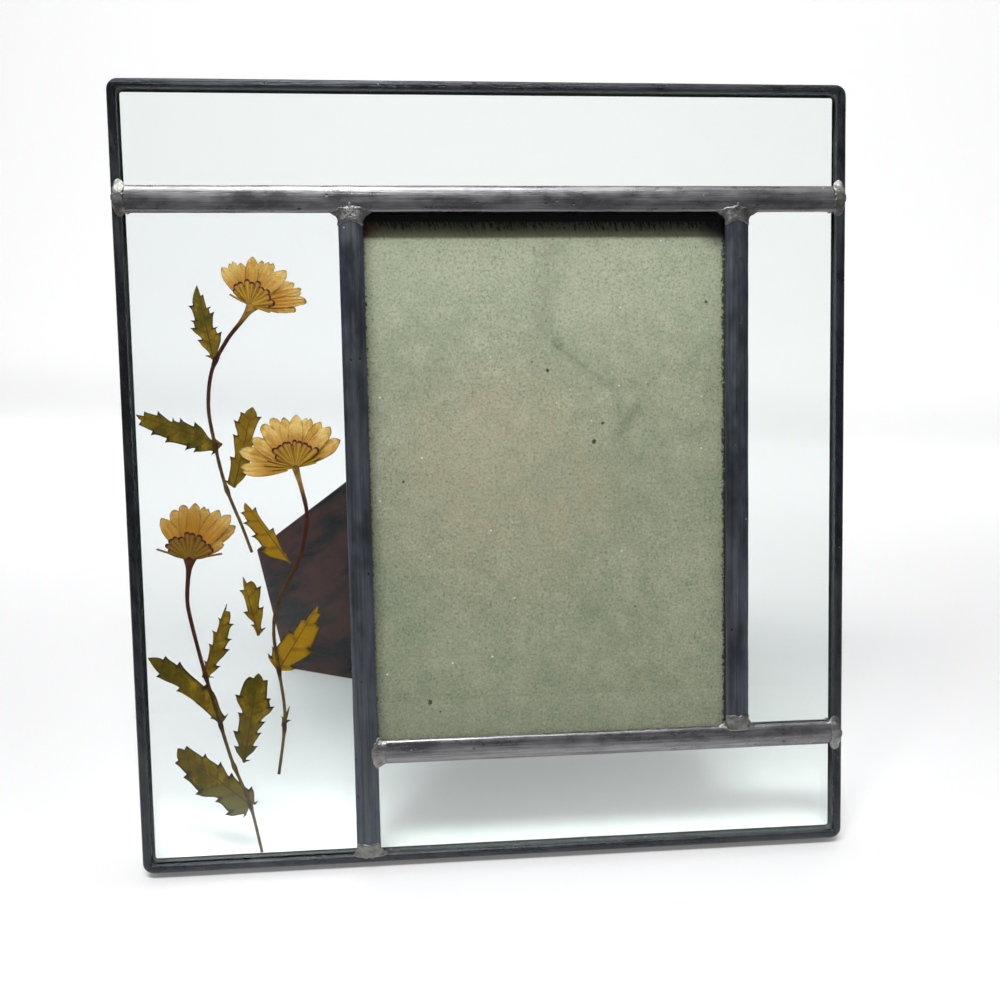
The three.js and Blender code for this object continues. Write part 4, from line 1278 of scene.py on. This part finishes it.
def stem(index, route, material):
    """A stem flares into the flower above it and thickens at its leaf joints."""
    top, below = Vector(route[0]), Vector(route[1])
    route = [tuple(top + (top - below).normalized() * FLARE_REACH), *route]
    leaf_bases = [Vector(leaf["base"]) for name, leaf in LEAVES.items() if f"_{index}_" in name]
    samples = 220
    places, runs = sampled(route, samples)
    joints = [runs[min(range(samples + 1), key=lambda i: (places[i] - base).length)] for base in leaf_bases]
    widening, fall = FLARES[index - 1]

    def half_width(s):
        run = runs[round(s * samples)]
        swelling = max([math.exp(-((run - joint) / 1.1) ** 2) for joint in joints], default=0)
        flare = widening * math.exp(-(run / fall) ** 1.5)
        uneven = 0.05 * noise.noise((run * 0.5, index, 0))
        return 0.54 * (1 - 0.35 * s) + flare + 0.22 * swelling + uneven

    def middle(s):
        return STEMS_DEPTH + 0.2 * ramp_up(runs[round(s * samples)], 2.3, 1)

    tube = flattened_tube(f"stem_{index}_stalk", route, half_width, 0.2, middle, samples)
    knots = tube.data.attributes.new("knot", "FLOAT", "POINT")
    for corner, value in zip(tube.data.vertices, knots.data):
        flat = Vector((corner.co.x, corner.co.z))
        near = min([(flat - base).length for base in leaf_bases], default=9)
        value.value = 0.85 * ramp_up(near, 2.2, 0.6)
    mark(tube, "pale", HEADS[index - 1]["pale"])
    smooth(tube, 70)
    return settle(tube, [f"stem_{index}"], material, "stems")


def leaf_rows(teeth, length):
    """Margin points of one side of a leaf, each (run, out, beat); the beat is whole at each tooth's tip."""
    rows = [(0, 0.3, 0)]
    spike, hook = 0.75, 0.3
    start = (0, 0.3)
    steps = 9
    for count, (run, out) in enumerate(teeth):
        shoulder = max(start[1] * 0.9, out - spike)
        for i in range(1, steps + 1):
            s = i / steps
            body = start[1] + (shoulder - start[1]) * ramp_up(s, 0, 0.75)
            rows.append((start[0] + (run - start[0]) * s, body + (out - shoulder) * s ** 5, count + s))
        after = teeth[count + 1][0] if count + 1 < len(teeth) else length
        start = (run - hook + 0.05 * (after - run), max(0.25, out - 1.15))
        rows.append((*start, count + 1.02))
    for i in range(1, steps + 1):
        s = i / steps
        rows.append((start[0] + (length - start[0]) * s, 0.04 + start[1] * (1 - s ** 1.7), len(teeth) + s))
    return rows


def leaf_side(leaf, side, rng):
    base, tip = Vector(leaf["base"]), Vector(leaf["tip"])
    rib = tip - base
    length = rib.length
    rib.normalize()
    outward = Vector((-rib.y, rib.x)) if side == "left" else Vector((rib.y, -rib.x))
    rows = leaf_rows(leaf[side], length)
    last = len(rows) - 1
    phase = rng.uniform(0, 9)
    inner = []
    furthest = 0
    for run, out, _ in rows:
        furthest = max(furthest, min(length, run - 0.6 * out))
        inner.append(furthest)
    inner[-1] = length

    def place(u, v):
        row = round(v * last)
        t = 1 - u if side == "left" else u
        run, out, _ = rows[row]
        margin = rib * run + outward * out
        middle = rib * inner[row] - outward * 0.12
        flat = base + middle + (margin - middle) * t
        sag = 0.05 * noise.noise((flat.x * 0.35 + phase, flat.y * 0.35, 0)) - 0.03 * t
        return Vector((flat.x, leaf["depth"] + 0.05 + sag, flat.y))

    def chart(u, v):
        t = 1 - u if side == "left" else u
        return (0.5 - t / 2 if side == "left" else 0.5 + t / 2, rows[round(v * last)][2])

    return shaped_grid("leaf_half", 8, last, place, chart)


def leaf(name, shape, material, slot):
    rng = random.Random(len(name) * 7 + int(shape["tip"][0] * 10))
    halves = [leaf_side(shape, side, rng) for side in ("left", "right")]
    whole = join(f"{name}_blade", halves)
    modify(whole, "SOLIDIFY", thickness=0.09, offset=-1)
    base, tip = shape["base"], shape["tip"]
    middle = ((base[0] + tip[0]) / 2, (base[1] + tip[1]) / 2)
    midrib = flattened_tube("midrib", [base, middle, tip], lambda s: 0.17 * (1.1 - s), 0.06,
                            lambda s: shape["depth"] + 0.05, 24)
    for loop in midrib.data.loops:
        midrib.data.uv_layers.active.data[loop.index].uv = (0.5, 0.5)
    whole = join(f"{name}_blade", [whole, midrib])
    tones = whole.data.attributes.new("tone", "FLOAT", "POINT")
    for corner, value in zip(whole.data.vertices, tones.data):
        if name == GREYED_LEAF:
            value.value = 0.7 * ramp_up(corner.co.z - 0.35 * corner.co.x, 14.5, 12.5)
    mark(whole, "gold", GOLDEN.get(name, 0.0))
    smooth(whole, 60)
    return settle(whole, [name], material, slot)


def pressed_plants():
    petal_gold, bract_olive = petal_finish(), bract_finish()
    stem_brown, leaf_olive = stem_finish(), leaf_finish()
    for index, head in enumerate(HEADS, 1):
        petals(index, head, petal_gold)
        bract_cup(index, head, bract_olive)
    for index, route in enumerate(STEMS, 1):
        stem(index, route, stem_brown)
    for name, shape in LEAVES.items():
        slot = "bracts" if name.startswith("bract") else "leaves"
        leaf(name, shape, leaf_olive, slot)


# ---- Glass
def pane(node, low, high, thickness, glass, ground, slot, front=GLASS_FRONT):
    """A sheet of glass with eased corners, seamed edges and dull ground sides."""
    sheet = block(f"{node}_sheet", (low[0], front, low[1]), (high[0], front + thickness, high[1]))
    select_in_edit(sheet, "EDGE", lambda edge: abs(edge.verts[0].co.y - edge.verts[1].co.y) > 1)
    bpy.ops.mesh.bevel(offset=PANE_CORNER, segments=4)
    bpy.ops.mesh.select_all(action="DESELECT")
    close_edit()
    modify(sheet, "BEVEL", width=0.22, segments=1, limit_method="ANGLE", angle_limit=math.radians(60))
    settle(sheet, [node], glass, slot)
    sheet.data.materials.append(ground)
    facing = PANEL_TURN @ Vector((0, 1, 0))
    for face in sheet.data.polygons:
        face.material_index = 0 if abs(face.normal.dot(facing)) > 0.9 else 1
    return sheet


def glaze():
    plain = glass_finish("plain_glass", (0.912, 0.955, 0.94, 1), (0.86, 0.91, 0.89, 1))
    thin = glass_finish("flower_glass", (0.98, 1, 1, 1), (0.96, 0.98, 0.975, 1))
    photo = glass_finish("photo_glass", (0.97, 0.99, 0.98, 1), (0.93, 0.95, 0.94, 1))
    ground = ground_finish()
    reach = HEART / 2 + 0.4
    inset = WALL_THICK + GAP
    left, right = LEFT_UPRIGHT, RIGHT_UPRIGHT
    outer_right, outer_top = FRAME_WIDTH - inset, FRAME_HEIGHT - inset
    under_top = TOP_CROSS - reach
    rear_sheet = GLASS_FRONT + PLAIN_GLASS - THIN_GLASS
    pane("top_pane", (inset, TOP_CROSS + reach), (outer_right, outer_top), PLAIN_GLASS, plain, ground,
         "plain_glass")
    pane("right_pane", (right + reach, LOWER_CROSS + reach), (outer_right, under_top), PLAIN_GLASS, plain,
         ground, "plain_glass")
    pane("bottom_pane", (left + reach, inset), (outer_right, LOWER_CROSS - reach), PLAIN_GLASS, plain, ground,
         "plain_glass")
    pane("photo_pane", (left + reach, LOWER_CROSS + reach), (right - reach, under_top), PHOTO_GLASS, photo,
         ground, "photo_glass")
    pane("flower_pane_front", (inset, inset), (left - reach, under_top), THIN_GLASS, thin, ground,
         "flower_glass")
    pane("flower_pane_back", (inset, inset), (left - reach, under_top), THIN_GLASS, thin, ground,
         "flower_glass", rear_sheet)


# ---- Stage, lights and camera
SWEEP_TURN = math.radians(-12.6)
SWEEP_BACK = 0.40
SWEEP_RADIUS = 0.05
SWEEP_HEIGHT = 1.6
SWEEP_WIDTH = 5
FLOOR_FRONT = -1.6


def sweep_point(v):
    """The backdrop's profile: the floor, a tight bend and the wall, as v goes from 0 to 1."""
    bend_start = SWEEP_BACK - SWEEP_RADIUS
    if v < 0.5:
        return FLOOR_FRONT + (bend_start - FLOOR_FRONT) * v / 0.5, 0
    if v < 0.7:
        turn = math.pi / 2 * (v - 0.5) / 0.2
        return bend_start + SWEEP_RADIUS * math.sin(turn), SWEEP_RADIUS * (1 - math.cos(turn))
    return SWEEP_BACK, SWEEP_RADIUS + (SWEEP_HEIGHT - SWEEP_RADIUS) * (v - 0.7) / 0.3


def stage():
    """A white sweep that glows as painted light, dimmer on the floor just behind the frame as painted shade
    and brighter further back; its floor is painted dark towards the front as painted shade.
    """
    def place(u, v):
        back, up = sweep_point(v)
        return Matrix.Rotation(SWEEP_TURN, 3, "Z") @ Vector((SWEEP_WIDTH * (u - 0.5), back, up))

    sweep = shaped_grid("sweep", 8, 60, place)
    smooth(sweep, 40)
    material, w, shader = finish("white_sweep", roughness=0.7, Emission_Strength=0.31)
    _, y, z = w.split(w.node("ShaderNodeTexCoord").outputs["Object"])
    # Painted shade: the floor darkens towards the front.
    painted_light_reach = w.mapped(y, -0.28, -0.12)
    wall = w.mapped(z, 0.0, 0.04)
    white = w.blend(wall, (0.84, 0.84, 0.845, 1), (0.94, 0.94, 0.94, 1))
    w.feed(shader["Base Color"], w.blend(painted_light_reach, (0.2, 0.2, 0.2, 1), white))
    # Painted light and shade in the glow: dimmer on the floor just behind the frame, brighter just in front
    # of it, further back and on the wall.
    strength = w.math("ADD", w.mapped(y, -0.07, 0.03, 0.5, 0.13), w.mapped(y, 0.03, 0.26, 0.0, 0.72))
    near = w.blend(strength, (0, 0, 0, 1), (1, 1, 1, 1))
    painted_glow = w.blend(wall, near, (1, 1, 1, 1))
    w.feed(shader["Emission Color"], w.blend(painted_light_reach, (0.05, 0.05, 0.05, 1), painted_glow))
    sweep.data.materials.append(material)


def sky():
    """Bright above, darker in front, where the room would be."""
    world = bpy.data.worlds.new("studio")
    bpy.context.scene.world = world
    world.use_nodes = True
    w = Wiring(world.node_tree)
    _, y, z = w.split(w.node("ShaderNodeTexCoord").outputs["Generated"])
    height = w.mapped(z, 0.5, 0.85)
    behind = w.mapped(y, -0.15, 0.25)
    level = w.math("MAXIMUM", height, behind)
    shade = w.blend(level, (0.05, 0.052, 0.06, 1), (0.6, 0.605, 0.615, 1))
    background = world.node_tree.nodes["Background"]
    w.feed(background.inputs["Color"], shade)
    background.inputs["Strength"].default_value = 0.6


def lamp(name, place, aim, size, power):
    data = bpy.data.lights.new(name, "AREA")
    data.shape = "RECTANGLE"
    data.size, data.size_y = size
    data.energy = power
    light = bpy.data.objects.new(name, data)
    light.location = place
    light.rotation_euler = (Vector(aim) - Vector(place)).to_track_quat("-Z", "Y").to_euler()
    bpy.context.scene.collection.objects.link(light)


def lights():
    sky()
    lamp("overhead_panel", (-0.1, -0.3, 0.85), (0, 0, 0.08), (0.5, 0.15), 5.7)


EYE = Vector((71.1, -213.1, 102.1))  # in panel millimetres
YAW, PITCH, ROLL = (math.radians(turn) for turn in (-4.23, 3.96, -1.09))
LENS = 32.4
SENSOR = 36


def camera():
    data = bpy.data.cameras.new("camera")
    data.lens = LENS
    data.sensor_width = SENSOR
    data.clip_start = 0.01
    eye = bpy.data.objects.new("camera", data)
    bpy.context.scene.collection.objects.link(eye)
    facing = Matrix(((1, 0, 0), (0, 0, -1), (0, 1, 0)))
    seen = Matrix.Rotation(ROLL, 3, "Z") @ Matrix.Rotation(PITCH, 3, "X") @ Matrix.Rotation(YAW, 3, "Y")
    seen = (seen @ facing).transposed() @ Matrix.Diagonal((1, -1, -1))
    turn = (PANEL_TURN.to_3x3() @ seen).to_4x4()
    eye.matrix_world = Matrix.Translation(PANEL @ EYE) @ turn
    bpy.context.scene.camera = eye


# ---- Assembly
def metalwork():
    # The cross cames and the uprights are the same lead, given as two copies: painted light makes the cross
    # cames' copy lighter, painted shade makes the uprights' copy darker.
    across_lead_painted_light = patina_finish("came_patina_across_painted_light", "across", colour(112, 112, 115), colour(174, 173, 174),
                                0.3)
    upright_lead_painted_shade = patina_finish("came_patina_upright_painted_shade", "up", colour(78, 83, 93), colour(116, 121, 129), 0.38)
    border_lead = patina_finish("border_patina", "round", colour(36, 40, 45), colour(92, 95, 99), 0.3,
                                0.0004)
    silver = solder_finish()
    border_came(border_lead)
    inner_cames(across_lead_painted_light, upright_lead_painted_shade)
    solder_joints(silver)
    plate_tacks(silver)


def easel():
    lacquer, steel = lacquer_finish(), steel_finish()
    softened("back_plate", "pocket_plate", 0.18, lacquer, "dark_plate")
    softened("hinge_leaf", "hinge_leaf_plate", 0.15, lacquer, "dark_plate")
    softened("easel_leg", "easel_leg_plate", 0.2, lacquer, "dark_plate", "easel_leg")
    softened("hinge_pin", "hinge_pin_rod", 0.15, steel, "steel")
    for side in ("left", "right"):
        softened(f"hinge_rivet_{side}", f"rivet_head_{side}", 0.1, steel, "steel")


bpy.context.scene.view_settings.view_transform = "Standard"
camera()
lights()
stage()
metalwork()
easel()
insert_board(board_finish())
pressed_plants()
glaze()
